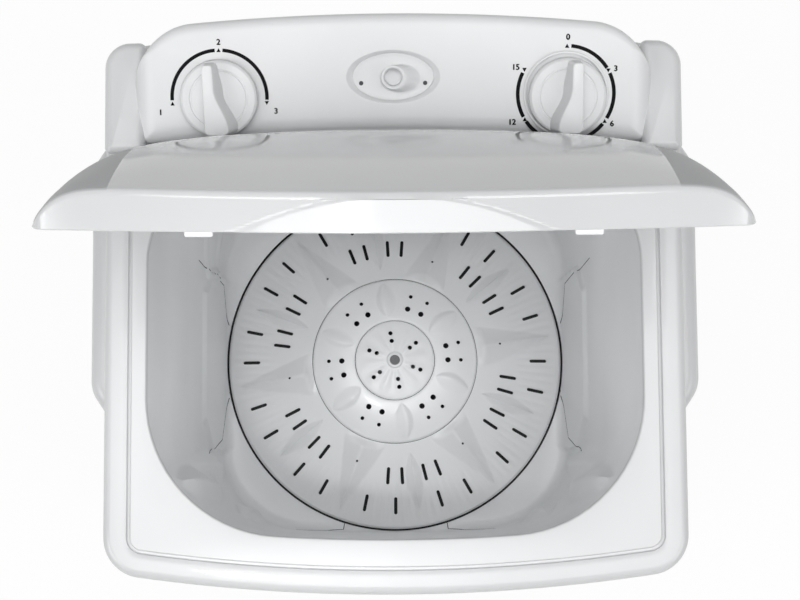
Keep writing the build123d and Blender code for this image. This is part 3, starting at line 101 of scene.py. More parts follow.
HINGE = Vector((0, 110, 700))
LID_OPEN = math.radians(72.5)
LID_HALF = 209.5
LID_FRONT = 312.0
LID_REAR = 4.0
LID_WALL = 2.6
LID_FRONT_CORNER = 9
LID_BACK_CORNER = 60
LID_SHADE_X = 163
GRIP_HALF = 88
GRIP_HEIGHT = 20.0
EAR_ACROSS = (147.0, 153.0)
LUG_ACROSS = (140.0, 146.0)


# Mesh helpers
def mesh_object(name, verts, faces, smooth_angle=32):
    """A new object from points in millimetres, smooth except at sharp edges."""
    mesh = bpy.data.meshes.new(name)
    mesh.from_pydata([tuple(c * MM for c in v) for v in verts], [], faces)
    return place_mesh(name, mesh, smooth_angle)


def place_mesh(name, mesh, smooth_angle=32):
    """Link a mesh, weld it, turn its faces outwards and mark its sharp edges."""
    bm = bmesh.new()
    bm.from_mesh(mesh)
    bmesh.ops.remove_doubles(bm, verts=bm.verts, dist=1e-6)
    bmesh.ops.recalc_face_normals(bm, faces=bm.faces)
    mark_sharp(bm, smooth_angle)
    bm.to_mesh(mesh)
    bm.free()
    obj = bpy.data.objects.new(name, mesh)
    bpy.context.scene.collection.objects.link(obj)
    return obj


def mark_sharp(bm, smooth_angle):
    limit = math.radians(smooth_angle)
    for face in bm.faces:
        face.smooth = True
    for edge in bm.edges:
        edge.smooth = not (edge.is_manifold and edge.calc_face_angle() > limit)


def loft(name, loops, cap_first=False, cap_last=False, ring=False, smooth_angle=32):
    """Join equal loops of points with quads. ring closes the last loop onto the first."""
    verts = [point for loop in loops for point in loop]
    count = len(loops[0])
    faces = []
    pairs = [(i, i + 1) for i in range(len(loops) - 1)]
    if ring:
        pairs.append((len(loops) - 1, 0))
    for a, b in pairs:
        for i in range(count):
            j = (i + 1) % count
            faces.append((a * count + i, a * count + j, b * count + j, b * count + i))
    if cap_first:
        faces.append(tuple(range(count)))
    if cap_last:
        faces.append(tuple((len(loops) - 1) * count + i for i in range(count)))
    return mesh_object(name, verts, faces, smooth_angle)


def cut(obj, cutters):
    """Subtract joined cutter objects from an object and remove them."""
    for cutter in cutters:
        modifier = obj.modifiers.new("cut", "BOOLEAN")
        modifier.operation = "DIFFERENCE"
        modifier.solver = "EXACT"
        modifier.object = cutter
        bake(obj)
        bpy.data.objects.remove(cutter)


def bake(obj, smooth_angle=32):
    """Replace an object's mesh by its evaluated one."""
    graph = bpy.context.evaluated_depsgraph_get()
    mesh = bpy.data.meshes.new_from_object(obj.evaluated_get(graph))
    obj.modifiers.clear()
    obj.data = mesh
    bm = bmesh.new()
    bm.from_mesh(mesh)
    mark_sharp(bm, smooth_angle)
    bm.to_mesh(mesh)
    bm.free()


def bevel(obj, width, segments=3, angle=40):
    """Round every edge sharper than an angle."""
    modifier = obj.modifiers.new("bevel", "BEVEL")
    modifier.width = width * MM
    modifier.segments = segments
    modifier.limit_method = "ANGLE"
    modifier.angle_limit = math.radians(angle)
    bake(obj)


def join(name, objects):
    """One object from several."""
    bm = bmesh.new()
    for obj in objects:
        bm.from_mesh(obj.data)
        bpy.data.objects.remove(obj)
    mesh = bpy.data.meshes.new(name)
    bm.to_mesh(mesh)
    bm.free()
    obj = bpy.data.objects.new(name, mesh)
    bpy.context.scene.collection.objects.link(obj)
    return obj


def smoothstep(low, high, value):
    """Eases from 0 at low to 1 at high. low may be the larger."""
    t = min(max((value - low) / (high - low), 0.0), 1.0)
    return t * t * (3 - 2 * t)


def bow(half, radius=1300.0):
    """How far a wide arc has fallen back at a distance from its middle."""
    return radius - math.sqrt(radius * radius - half * half)


def corner_drop(beyond, radius):
    """How far a round corner has fallen away at a distance past its start."""
    if beyond <= 0:
        return 0.0
    return radius - math.sqrt(max(radius * radius - beyond * beyond, 0))


def bridge(chain):
    """Quads between neighbouring closed loops of vertex numbers."""
    faces = []
    for a, b in zip(chain, chain[1:]):
        for i in range(len(a)):
            j = (i + 1) % len(a)
            faces.append((a[i], a[j], b[j], b[i]))
    return faces


def arc(cx, cy, radius, start, end, count):
    """Points of an arc in degrees, without its last one."""
    step = (end - start) / count
    angles = [math.radians(start + step * i) for i in range(count)]
    return [(cx + radius * math.cos(a), cy + radius * math.sin(a)) for a in angles]


def segment(a, b, count):
    """Points of a straight line, without its last one."""
    (ax, ay), (bx, by) = a, b
    return [(ax + (bx - ax) * i / count, ay + (by - ay) * i / count) for i in range(count)]


def outline(
    half, front, rear, front_corner, back_corner, sides=20, corners=16, ends=30, bow_radius=1300.0
):
    """Closed outline seen from above: bowed front, straight sides and back, round corners."""
    r = front_corner
    cx = half - r
    bow_y = bow_radius - front
    cy = bow_y - math.sqrt((bow_radius - r) ** 2 - cx * cx)
    lean = math.degrees(math.atan2(cx, bow_y - cy))
    b = back_corner
    points = segment((half, cy), (half, rear - b), sides)
    points += arc(half - b, rear - b, b, 0, 90, corners)
    points += segment((half - b, rear), (b - half, rear), ends)
    points += arc(b - half, rear - b, b, 90, 180, corners)
    points += segment((-half, rear - b), (-half, cy), sides)
    points += arc(-cx, cy, r, 180, 270 - lean, corners)
    points += arc(0, bow_y, bow_radius, 270 - lean, 270 + lean, ends)
    points += arc(cx, cy, r, 270 + lean, 360, corners)
    return points


def inset_outline(plan, inset, **counts):
    """The outline drawn in by an inset."""
    return outline(
        plan["half"] - inset,
        plan["front"] - inset,
        plan["rear"] - inset,
        max(plan["front_corner"] - inset, 0.5),
        max(plan["back_corner"] - inset, 0.5),
        **counts,
    )


def at_height(points, z):
    return [(x, y, z) for x, y in points]


def blend_plans(low, high, share):
    return {key: low[key] + (high[key] - low[key]) * share for key in low}


# Materials
def plastic(name, colour, roughness, coat=0.0, tint=0.03, grain=0.02):
    """Moulded plastic: a faint drift of colour and gloss over a fine moulded grain."""
    material = bpy.data.materials.new(name)
    material.use_nodes = True
    nodes, links = material.node_tree.nodes, material.node_tree.links
    shader = nodes["Principled BSDF"]
    shader.inputs["Coat Weight"].default_value = coat
    shader.inputs["Coat Roughness"].default_value = 0.06
    place = nodes.new("ShaderNodeTexCoord")

    def noise(scale, detail):
        texture = nodes.new("ShaderNodeTexNoise")
        texture.inputs["Scale"].default_value = scale
        texture.inputs["Detail"].default_value = detail
        links.new(place.outputs["Object"], texture.inputs["Vector"])
        return texture.outputs["Fac"]

    drift = noise(6.0, 3.0)
    ramp = nodes.new("ShaderNodeValToRGB")
    ramp.color_ramp.elements[0].position = 0.3
    ramp.color_ramp.elements[1].position = 0.7
    ramp.color_ramp.elements[0].color = (*[c * (1 - tint) for c in colour], 1)
    ramp.color_ramp.elements[1].color = (*[min(c * (1 + tint), 1) for c in colour], 1)
    links.new(drift, ramp.inputs["Fac"])
    links.new(ramp.outputs["Color"], shader.inputs["Base Color"])

    gloss = nodes.new("ShaderNodeMapRange")
    gloss.inputs["To Min"].default_value = roughness * 0.85
    gloss.inputs["To Max"].default_value = roughness * 1.15
    links.new(noise(35.0, 4.0), gloss.inputs["Value"])
    links.new(gloss.outputs["Result"], shader.inputs["Roughness"])

    fine = noise(900.0, 2.0)
    bump = nodes.new("ShaderNodeBump")
    bump.inputs["Strength"].default_value = grain
    bump.inputs["Distance"].default_value = 0.0004
    links.new(fine, bump.inputs["Height"])
    links.new(bump.outputs["Normal"], shader.inputs["Normal"])
    return material


def metal(name, colour, roughness, brushed=True):
    """Metal with fine brushing or casting grain."""
    material = plastic(name, colour, roughness, tint=0.08, grain=0.08)
    shader = material.node_tree.nodes["Principled BSDF"]
    shader.inputs["Metallic"].default_value = 1.0
    if brushed:
        nodes, links = material.node_tree.nodes, material.node_tree.links
        stretch = nodes.new("ShaderNodeMapping")
        stretch.inputs["Scale"].default_value = (1, 1, 0.05)
        noise = nodes["Noise Texture.002"]
        links.new(nodes["Texture Coordinate"].outputs["Object"], stretch.inputs["Vector"])
        links.new(stretch.outputs["Vector"], noise.inputs["Vector"])
    return material


def linear(value):
    """Linear light of an 8-bit grey."""
    v = value / 255
    return v / 12.92 if v <= 0.04045 else ((v + 0.055) / 1.055) ** 2.4


def grey(r, g, b):
    return (linear(r), linear(g), linear(b))


rim_plastic = plastic("rim_plastic", grey(210, 211, 212), 0.34, coat=0.2)
lid_plastic = plastic("lid_plastic", grey(213, 214, 215), 0.09)
# A duller, darker grey for the ends of the lid's outer skin: painted shade
lid_end_painted_shade = plastic("lid_end_painted_shade", grey(198, 199, 200), 0.5)
console_plastic = plastic("console_plastic", grey(224, 225, 226), 0.42)
tub_plastic = plastic("tub_plastic", grey(247, 248, 249), 0.36, coat=0.1)
pulsator_plastic = plastic("pulsator_plastic", grey(238, 239, 240), 0.38, coat=0.1)
knob_plastic = plastic("knob_plastic", grey(224, 225, 226), 0.34, coat=0.1)
pipe_plastic = plastic("pipe_plastic", grey(96, 98, 101), 0.5)
screw_metal = plastic("screw_metal", grey(104, 105, 108), 0.42, tint=0.2, grain=0.3)
# Dark grey for the well under the pulsator: painted shade
well_painted_shade = plastic("well_painted_shade", grey(46, 47, 49), 0.6)
cabinet_plastic = plastic("cabinet_plastic", grey(222, 223, 224), 0.45, grain=0.08)
dark_plastic = plastic("dark_plastic", grey(60, 62, 65), 0.5, grain=0.08)
rubber = plastic("rubber", grey(38, 38, 39), 0.75, grain=0.2)
print_ink = plastic("print_ink", grey(14, 14, 16), 0.6)
motor_paint = plastic("motor_paint", grey(48, 50, 54), 0.4, grain=0.1)
steel = metal("steel", grey(178, 180, 182), 0.32)
cast_metal = metal("cast_metal", grey(164, 166, 168), 0.5, brushed=False)
bronze = metal("bronze", grey(186, 152, 96), 0.4, brushed=False)

for material in (lid_end_painted_shade, print_ink):
    shader = material.node_tree.nodes["Principled BSDF"]
    shader.inputs["Specular IOR Level"].default_value = 0.1

slot_materials = {
    "frame": rim_plastic,
    "lid": lid_plastic,
    "console": console_plastic,
    "cabinet": cabinet_plastic,
    "tub": tub_plastic,
    "pulsator": pulsator_plastic,
    "knob": knob_plastic,
    "rubber": rubber,
    "steel": steel,
    "dark": dark_plastic,
    "casting": cast_metal,
    "bronze": bronze,
    "motor": motor_paint,
    "can": cast_metal,
}
for part in frame["record"]["subparts"]:
    node = bpy.data.objects[part["node"]]
    node.data.materials.clear()
    node.data.materials.append(slot_materials[part["material_slot"]])
bpy.data.objects["inlet_pipe"].data.materials[0] = pipe_plastic
bpy.data.objects["pulsator_screw"].data.materials[0] = screw_metal


def dress(obj, material, slot, body, *nodes):
    """Give a piece its material and body, and say which solids it stands for. The slot is not
    used.
    """
    obj.data.materials.clear()
    obj.data.materials.append(material)
    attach(obj, body)
    if nodes:
        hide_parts(*nodes)


# Top frame: rounded outer edge, ledge, groove, curb and tub mouth
def fillet_steps(radius, count):
    """Inset and drop along a quarter round."""
    steps = []
    for i in range(count + 1):
        a = math.radians(90 * i / count)
        steps.append((radius * (1 - math.cos(a)), radius * (1 - math.sin(a))))
    return steps


GROOVE = dict(half=191.0, front=183.5, rear=160.0, front_corner=10.5, back_corner=6.0)

# Inset of the plan and rise above the rim, from the ledge to the inside of the mouth
GROOVE_STEPS = ((-1.9, 0), (-1.5, -0.2), (-1.1, -1.9), (-0.7, -2.2), (0.7, -2.2))
GROOVE_STEPS += ((1.1, -1.9), (1.4, 0.6), (1.9, 1.0), (3.5, 1.0))
MOUTH_STEPS = ((-2.2, 1.0), (-1.0, 0.7), (-0.2, -0.4), (0.0, -1.6))

frame_loops = [
    at_height(inset_outline(RIM, 3.0), 650),
    at_height(inset_outline(RIM, 0.6), 650),
    at_height(inset_outline(RIM, 0.0), 650.6),
    at_height(inset_outline(RIM, 0.0), 668),
]
for inset, drop in fillet_steps(6.0, 7):
    frame_loops.append(at_height(inset_outline(RIM, inset), RIM_TOP - drop))
frame_loops.append(at_height(inset_outline(RIM, 12.0), RIM_TOP))
for plan, steps in ((GROOVE, GROOVE_STEPS), (MOUTH, MOUTH_STEPS)):
    frame_loops += [at_height(inset_outline(plan, inset), RIM_TOP + rise) for inset, rise in steps]
frame_loops += [
    at_height(inset_outline(MOUTH, 0.0), FRAME_UNDERSIDE),
    at_height(inset_outline(MOUTH, -6.0), FRAME_UNDERSIDE),
    at_height(inset_outline(RIM, 3.0), FRAME_UNDERSIDE),
]
rim = loft("frame_rim", frame_loops, ring=True)


POST_ACROSS = (174.0, 203.0)
POST_DEPTH = (121.0, 187.0)
POST_LEAN = 13.5
POST_TOP = 745


def post_loop(side, z, shrink):
    """Section of a side post: it leans back, and its outer rear corner is large."""
    lean = POST_LEAN * smoothstep(700, POST_TOP, z) * 0.9 + POST_LEAN * 0.1 * (z > 703)
    x0, x1 = POST_ACROSS[0] + shrink, POST_ACROSS[1] - shrink
    y0, y1 = POST_DEPTH[0] - lean + shrink, POST_DEPTH[1] - shrink
    r = max(5.0 - shrink, 0.5)
    big = min(18.0 - shrink, x1 - x0 - r - 0.2)
    points = arc(x1 - r, y0 + r, r, -90, 0, 6)
    points += arc(x1 - big, y1 - big, big, 0, 90, 10)
    points += arc(x0 + r, y1 - r, r, 90, 180, 6)
    points += arc(x0 + r, y0 + r, r, 180, 270, 6)
    return [(side * x, y, z) for x, y in points]


posts = []
for side in (1, -1):
    loops = [post_loop(side, z, 0) for z in (689.9, 700, 704, 710, 718, 726, 733, 738, 739)]
    for inset, drop in fillet_steps(6.0, 6)[1:]:
        loops.append(post_loop(side, POST_TOP - drop, inset))
    posts.append(loft(f"post_{side}", loops, cap_first=True, cap_last=True))


def hinge_tab(side, profile, across, rounding):
    """A tab between two places across, from its outline in depth and height."""
    loops = [[(side * x, y, z) for y, z in profile] for x in across]
    tab = loft("tab", loops, cap_first=True, cap_last=True)
    bevel(tab, rounding)
    return tab


ear_profile = arc(110, 700, 6, 0, 180, 14) + [(104, 700), (104, 689.9), (116, 689.9)]
ears = [hinge_tab(side, ear_profile, EAR_ACROSS, 0.8) for side in (1, -1)]
frame_piece = join("top_frame_shell", [rim, *posts, *ears])
dress(frame_piece, rim_plastic, "frame", MACHINE, "top_frame")


# Tub
def tub_loop(z, outward=0.0):
    """Wall section of the tub at a height, with its pads and reliefs."""
    if z >= MIDDLE_HEIGHT:
        share = (z - MIDDLE_HEIGHT) / (FRAME_UNDERSIDE - MIDDLE_HEIGHT)
        plan = blend_plans(TUB_MIDDLE, TUB_TOP, share)
    else:
        share = (z - FLOOR_HEIGHT) / (MIDDLE_HEIGHT - FLOOR_HEIGHT)
        plan = blend_plans(TUB_FLOOR, TUB_MIDDLE, share)
    points = inset_outline(plan, -outward, sides=64, corners=40, ends=72)
    if outward:
        return at_height(points, z)
    loop = []
    count = len(points)
    for i, (x, y) in enumerate(points):
        ax, ay = points[i - 1]
        bx, by = points[(i + 1) % count]
        tangent = Vector((bx - ax, by - ay)).normalized()
        inward = Vector((-tangent.y, tangent.x))
        depth = wall_relief(x, y, z)
        loop.append((x + inward.x * depth, y + inward.y * depth, z))
    return loop


# Reliefs of the front corners: middle angle, lowest and highest place, half width in
# degrees, and rise. The first is an upright fin, the others are leaves below it.
CORNER_RELIEFS = (
    (38.0, 330.0, 660.0, 11.0, 8.0),
    (26.0, 235.0, 470.0, 10.0, 7.0),
    (60.0, 225.0, 400.0, 10.0, 7.0),
)


def wall_relief(x, y, z):
    """How far the tub wall stands in from its plain shape."""
    depth = 0.0
    # side pad: a plate on the lower wall
    if abs(x) > 150:
        reach = 84 - 26 * smoothstep(296, 352, z)
        along = smoothstep(reach + 1.5, reach - 1.5, abs(y + 3))
        depth += 3.4 * along * smoothstep(356, 350, z)
    if abs(x) > 82 and y < -62:
        angle = math.degrees(math.atan2(-(y + 62), abs(x) - 82))
        for middle, low, high, width, rise in CORNER_RELIEFS:
            tall = (z - (low + high) / 2) / ((high - low) / 2)
            if abs(tall) < 1:
                reach = width * (1 - tall * tall)
                across = (angle - middle) / max(reach, 0.01)
                if abs(across) < 1:
                    depth += rise * (1 - tall * tall) ** 0.5 * (1 - abs(across)) ** 0.7
    # rear left: a round boss
    if x <= 0 and y > 60:
        span = math.hypot((y - 98) * 1.3, z - 305)
        depth += 2.5 * smoothstep(44, 41, span) - 2.0 * smoothstep(32, 29, span)
    return depth


wall_heights = [FRAME_UNDERSIDE - 12 * i for i in range(22)]
wall_heights += [420 - 3 * i for i in range(66)]
wall_heights = [z for z in wall_heights if z > FOOT_HEIGHT]
tub_loops = [tub_loop(z) for z in wall_heights]
foot = tub_loop(FOOT_HEIGHT)


def floor_loop(inset, z):
    """A loop near the tub's floor, drawn in from the foot of the wall."""
    loop = []
    for x, y, _ in foot:
        length = math.hypot(x, y)
        share = max(length - inset, WELL_RADIUS + 0.4) / length
        loop.append((x * share, y * share, z))
    return loop


def round_loop(radius, z):
    """A circle whose points lie on the same rays as the tub's loops."""
    return [(x * radius / math.hypot(x, y), y * radius / math.hypot(x, y), z) for x, y, _ in foot]


tub_loops += [
    foot,
    floor_loop(0.8, 217.5),
    floor_loop(3.0, 214.0),
    floor_loop(6.5, 212.4),
    floor_loop(10.0, 212.0),
    round_loop(WELL_RADIUS + 1.0, FLOOR_HEIGHT),
    round_loop(WELL_RADIUS + 0.2, FLOOR_HEIGHT - 0.5),
    round_loop(WELL_RADIUS, FLOOR_HEIGHT - 1.5),
    *(round_loop(radius, WELL_FLOOR) for radius in (WELL_RADIUS, 110, 60, 20)),
    *(round_loop(radius, WELL_FLOOR - 3) for radius in (20, 60, 110, WELL_RADIUS + 3)),
    round_loop(WELL_RADIUS + 3, 209),
    [(x * 1.02, y * 1.02, 209.0) for x, y, _ in tub_loop(FOOT_HEIGHT, 2.0)],
    *(tub_loop(z, TUB_WALL) for z in (FOOT_HEIGHT, 320, MIDDLE_HEIGHT, 683)),
    *(tub_loop(z, TUB_FLANGE) for z in (683, 685.9)),
]
tub_piece = loft("tub_shell", tub_loops, ring=True, smooth_angle=38)
dress(tub_piece, tub_plastic, "tub", MACHINE, "tub")

# The well under the pulsator gets a dark grey below this height in metres: painted shade, so that
# the slots through the pulsator read dark
WELL_SHADE = 0.211
tub_piece.data.materials.append(well_painted_shade)
for face in tub_piece.data.polygons:
    beneath = math.hypot(face.center.x, face.center.y) < (WELL_RADIUS + 0.5) * MM
    if beneath and face.center.z < WELL_SHADE:
        face.material_index = 1


# Dark strips along grooves of the tub's skin: painted shade of the grooves, which are not modelled
GROOVE_SHADE_STEP = 5
GROOVE_SHADE_HALF_WIDTH = 0.42
GROOVE_SHADE_LIFT = 0.12
GROOVE_SHADE_CORNERS = (
    ((-173, 79, 377), (-163, 72, 242), (-162, 46, 224), (-159.6, 32, 211.5)),
    ((-159.6, -28, 211.5), (-161, -40, 218), (-163, -75, 249), (-169, -92, 335)),
    ((-95, -159.5, 224), (-50, -160, 215), (-49, -154, 212)),
)


def groove_shade_strip(points):
    """Fine dark strip that follows the tub's skin from corner to corner: painted groove shade."""
    line = []
    for a, b in zip(points, points[1:]):
        a, b = Vector(a), Vector(b)
        steps = max(int((b - a).length / GROOVE_SHADE_STEP), 1)
        line += [a.lerp(b, i / steps) for i in range(steps)]
    line.append(Vector(points[-1]))
    spots = []
    for place in line:
        spot, normal, *_ = tub_skin.find_nearest(place * MM)
        spots.append((spot / MM, normal))
    loops = []
    for i, (spot, normal) in enumerate(spots):
        ahead = spots[min(i + 1, len(spots) - 1)][0] - spots[max(i - 1, 0)][0]
        across = ahead.normalized().cross(normal).normalized() * GROOVE_SHADE_HALF_WIDTH
        lift = normal * GROOVE_SHADE_LIFT
        upper = [spot + across + lift, spot - across + lift]
        lower = [spot - across - lift, spot + across - lift]
        loops.append(upper + lower)
    return loft("groove_shade_strip", loops, cap_first=True, cap_last=True)


tub_skin = BVHTree.FromPolygons(
    [tub_piece.matrix_world @ v.co for v in tub_piece.data.vertices],
    [tuple(face.vertices) for face in tub_piece.data.polygons],
)
groove_shade_strips = []
for side in (1, -1):
    for points in GROOVE_SHADE_CORNERS:
        groove_shade_strips.append(groove_shade_strip([(-side * x, y, z) for x, y, z in points]))
# The strips get the dark plastic as painted shade
dress(join("tub_groove_shade", groove_shade_strips), dark_plastic, "dark", MACHINE)


# Pulsator
def polar_solid(name, inner, outer, height, thickness, radial, around):
    """A closed round shell whose top follows height(radius, angle in degrees)."""
    radii = [inner + (outer - inner) * i / radial for i in range(radial + 1)]
    loops = [polar_loop(radius, around, height) for radius in radii]
    for share in (1.0, 0.75, 0.5, 0.25, 0.0):
        top = loops[round(radial * share)]
        loops.append([(x, y, z - thickness) for x, y, z in top])
    return loft(name, loops, ring=True, smooth_angle=40)


def polar_loop(radius, around, height):
    loop = []
    for i in range(around):
        degrees = 360 * i / around
        a = math.radians(degrees)
        loop.append((radius * math.cos(a), radius * math.sin(a), height(radius, degrees)))
    return loop


def nearest_turn(degrees, first, count=6):
    """Signed angle from the nearest of evenly spaced rays."""
    step = 360 / count
    return (degrees - first + step / 2) % step - step / 2


def disc_height(radius, degrees):
    """Top of the pulsator disc: a dished cone, star ribs, leaf ribs and fine flutes."""
    share = (PULSATOR_RADIUS - radius) / (PULSATOR_RADIUS - RING_RADIUS)
    z = FLOOR_HEIGHT + 16.0 * (0.35 * share + 0.65 * share * share)
    z -= 1.6 * (1 - smoothstep(0, 2.2, PULSATOR_RADIUS - radius))
    turn = math.radians(nearest_turn(degrees, MAIN_RIB_ANGLE))
    across = radius * turn
    run = (radius - 80.0) / (151.0 - 80.0)
    if run < 1:
        half = 21.0 * (1 - max(run, 0)) ** 0.9 + 0.4
        crest = 12.5 * (1 - max(run, 0)) ** 0.8 * smoothstep(-0.02, 0.12, run)
        flank = 1 - abs(across) / half
        if flank > 0:
            z += crest * min(flank, 0.94) ** 1.15
    turn = math.radians(nearest_turn(degrees, MINOR_RIB_ANGLE))
    across = radius * turn
    run = (radius - 88.5) / (142.5 - 88.5)
    if 0 < run < 1:
        half = 7.5 * math.sin(math.pi * run) ** 0.8
        flank = 1 - abs(across) / max(half, 0.01)
        if flank > 0:
            z += 5.0 * math.sin(math.pi * run) ** 0.7 * flank
    flutes = smoothstep(112, 128, radius) * smoothstep(157, 150, radius)
    z += 0.22 * flutes * math.cos(math.radians(degrees) * 120)
    return z


def ring_height(radius, degrees):
    """Top of the ring cap: a low dome with petals between the hole clusters."""
    share = (RING_RADIUS - radius) / (RING_RADIUS - HUB_RADIUS)
    z = 228.0 + 9.0 * math.sin(share * math.pi / 2) ** 0.9
    z -= 1.0 * (1 - smoothstep(0, 1.4, RING_RADIUS - radius))
    z -= 0.8 * (1 - smoothstep(0, 1.2, radius - HUB_RADIUS - 0.5))
    turn = math.radians(nearest_turn(degrees, MINOR_RIB_ANGLE - 1))
    run = (radius - 42.0) / (75.0 - 42.0)
    if 0 < run < 1:
        half = 10.0 * math.sin(math.pi * run) ** 0.6
        across = radius * turn / max(half, 0.01)
        if abs(across) < 1:
            slope = (1 + across) / 1.35 if across < 0.35 else (1 - across) / 0.65
            z += 3.2 * math.sin(math.pi * run) ** 0.7 * smoothstep(0, 1, slope)
    return z


def hub_height(radius, degrees):
    """Top of the hub cap: a dome with soft spokes round a dimple for the screw."""
    share = radius / HUB_RADIUS
    z = 237.4 + 4.6 * (1 - share * share)
    z -= 0.9 * (1 - smoothstep(0, 1.2, HUB_RADIUS - radius))
    spokes = math.cos(math.radians(degrees - 9) * 12)
    z += 0.45 * spokes * smoothstep(8, 14, radius) * smoothstep(34, 26, radius)
    z -= 1.5 * smoothstep(8.0, 6.5, radius)
    return z


def slots(places, length, width, low, high):
    """Upright slot-shaped cutters at (radius, angle) places, each lying along its ray."""
    pieces = []
    for radius, degrees in places:
        turn = math.radians(degrees)
        half = (length - width) / 2
        ring = arc(half, 0, width / 2, -90, 90, 8) + [(half, width / 2)]
        ring += arc(-half, 0, width / 2, 90, 270, 8) + [(-half, -width / 2)]
        ring = [
            (
                (radius + x) * math.cos(turn) - y * math.sin(turn),
                (radius + x) * math.sin(turn) + y * math.cos(turn),
            )
            for x, y in ring
        ]
        loops = [at_height(ring, low), at_height(ring, high)]
        pieces.append(loft("slot", loops, cap_first=True, cap_last=True))
    return join("slots", pieces)


def spread(first, offsets, radius):
    """(radius, angle) places at the offsets from six evenly spaced rays."""
    return [(radius, first + offset + 60 * k) for k in range(6) for offset in offsets]


SLOT_LENGTH, SLOT_WIDTH = 16.4, 3.1
disc = polar_solid(
    "pulsator_disc_shell", RING_RADIUS + 0.5, PULSATOR_RADIUS, disc_height, 3.5, 84, 720
)
disc_slots = spread(MINOR_RIB_ANGLE, (-21, -9, 9, 21), 137.9)
disc_slots += spread(MINOR_RIB_ANGLE, (-12.7, -5.7, 5.7, 12.7), 109.5)
cut(disc, [slots(disc_slots, SLOT_LENGTH, SLOT_WIDTH, 190, 250)])
cut(disc, [slots(spread(MAIN_RIB_ANGLE, (0,), 102), 2.3, 2.2, 190, 250)])
dress(disc, pulsator_plastic, "pulsator", PULSATOR, "pulsator_disc")

ring_cap = polar_solid(
    "ring_cap_shell", HUB_RADIUS + 0.5, RING_RADIUS, ring_height, 3.0, 48, 540
)
for radius, length, width in ((50.6, 5.3, 5.2), (63.0, 3.7, 3.6)):
    places = spread(MAIN_RIB_ANGLE - 1, (-7.7, 7.7), radius)
    cut(ring_cap, [slots(places, length, width, 210, 250)])
dress(ring_cap, pulsator_plastic, "pulsator", PULSATOR, "pulsator_ring_cap")

hub_cap = polar_solid("hub_cap_shell", 4.9, HUB_RADIUS, hub_height, 3.0, 40, 240)
for radius in (18.4, 25.9):
    cut(hub_cap, [slots(spread(MINOR_RIB_ANGLE, (0,), radius), 4.2, 4.1, 210, 250)])
dress(hub_cap, pulsator_plastic, "pulsator", PULSATOR, "pulsator_hub_cap")


# Lid, drawn closed and turned open about its hinge
LID_CROWN = (
    (-4, 7.0),
    (17.6, 14.0),
    (40, 22.6),
    (60, 27.2),
    (100, 33.0),
    (150, 36.0),
    (200, 35.1),
    (250, 30.6),
    (300, 22.9),
    (320, 19.0),
)


def crown(u):
    """Height of the lid's middle line above the hinge at a distance from it."""
    table = LID_CROWN
    if u <= table[0][0]:
        return table[0][1]
    for i in range(len(table) - 1):
        (u0, t0), (u1, t1) = table[i], table[i + 1]
        if u <= u1:
            before = table[i - 1] if i else table[i]
            after = table[i + 2] if i + 2 < len(table) else table[i + 1]
            slope0 = (t1 - before[1]) / (u1 - before[0])
            slope1 = (after[1] - t0) / (after[0] - u0)
            h = u1 - u0
            s = (u - u0) / h
            return (
                t0 * (1 + 2 * s) * (1 - s) ** 2
                + slope0 * h * s * (1 - s) ** 2
                + t1 * s * s * (3 - 2 * s)
                - slope1 * h * s * s * (1 - s)
            )
    return table[-1][1]


def lid_edge(x, inset):
    """Nearest and farthest distance from the hinge across the lid at a place x."""
    half = LID_HALF - inset
    front = LID_FRONT - inset - bow(min(abs(x), half))
    rear = -LID_REAR + inset
    rear += corner_drop(abs(x) - (half - LID_BACK_CORNER), LID_BACK_CORNER)
    front -= corner_drop(abs(x) - (half - LID_FRONT_CORNER), LID_FRONT_CORNER)
    return rear, front


def lid_surface(x, u):
    """Height of the lid's skin: domed behind, flat with turned-down ends at the front."""
    side = 2.2 + 4.0 * smoothstep(30, 90, u) - 2.6 * smoothstep(150, 260, u)
    side -= 4.4 * smoothstep(250, 305, u)
    power = 2.15 + 0.85 * smoothstep(20, 66, u) + 4.5 * smoothstep(100, 200, u)
    power += 3.5 * smoothstep(180, 260, u) + 5.5 * smoothstep(245, 300, u)
    power += 8.5 * smoothstep(298, 312, u)
    share = min(abs(x) / LID_HALF, 1)
    return side + (crown(u) - side) * (1 - share**power)


def lid_grid(inset, lower):
    """Places over the lid's skin, drawn in by an inset and set lower by a wall."""
    columns, rows = 176, 90
    roll = 3.5
    floor = -1.0 if lower == 0 else -1.6
    points = []
    for i in range(columns + 1):
        across = -math.cos(math.pi * i / columns)
        x = (LID_HALF - inset) * (0.55 * across + 0.45 * math.sin(across * math.pi / 2))
        rear, front = lid_edge(x, inset)
        column = []
        for j in range(rows + 1):
            share = 0.5 - 0.5 * math.cos(math.pi * j / rows)
            share = 0.7 * share + 0.3 * j / rows
            u = rear + (front - rear) * share
            gap = max(min(u - rear, front - u, (LID_HALF - inset) - abs(x)), 0)
            fall = corner_drop(roll - gap, roll)
            column.append((x, u, max(lid_surface(x, u) - fall - lower, floor)))
        points.append(column)
    return points


def lid_point(x, u, t):
    """A closed-lid place (across, out from the hinge, up) in the open position."""
    y = -u * math.cos(LID_OPEN) + t * math.sin(LID_OPEN)
    z = u * math.sin(LID_OPEN) + t * math.cos(LID_OPEN)
    return (x, HINGE.y + y, HINGE.z + z)


def front_wall(x, u, top, share):
    """A place down the lid's edge wall, with the finger grip swelling out of its front."""
    t = top + (-1.4 - top) * share
    arch = GRIP_HEIGHT * (1 - (x / GRIP_HALF) ** 2) - t
    if u > 280:
        u -= 0.9 * math.exp(-((arch / 0.9) ** 2)) * smoothstep(-1.5, 2.0, t + 1.4)
        if arch > 0:
            u += 0.3 + 3.4 * arch / GRIP_HEIGHT
    return (x, u, t)


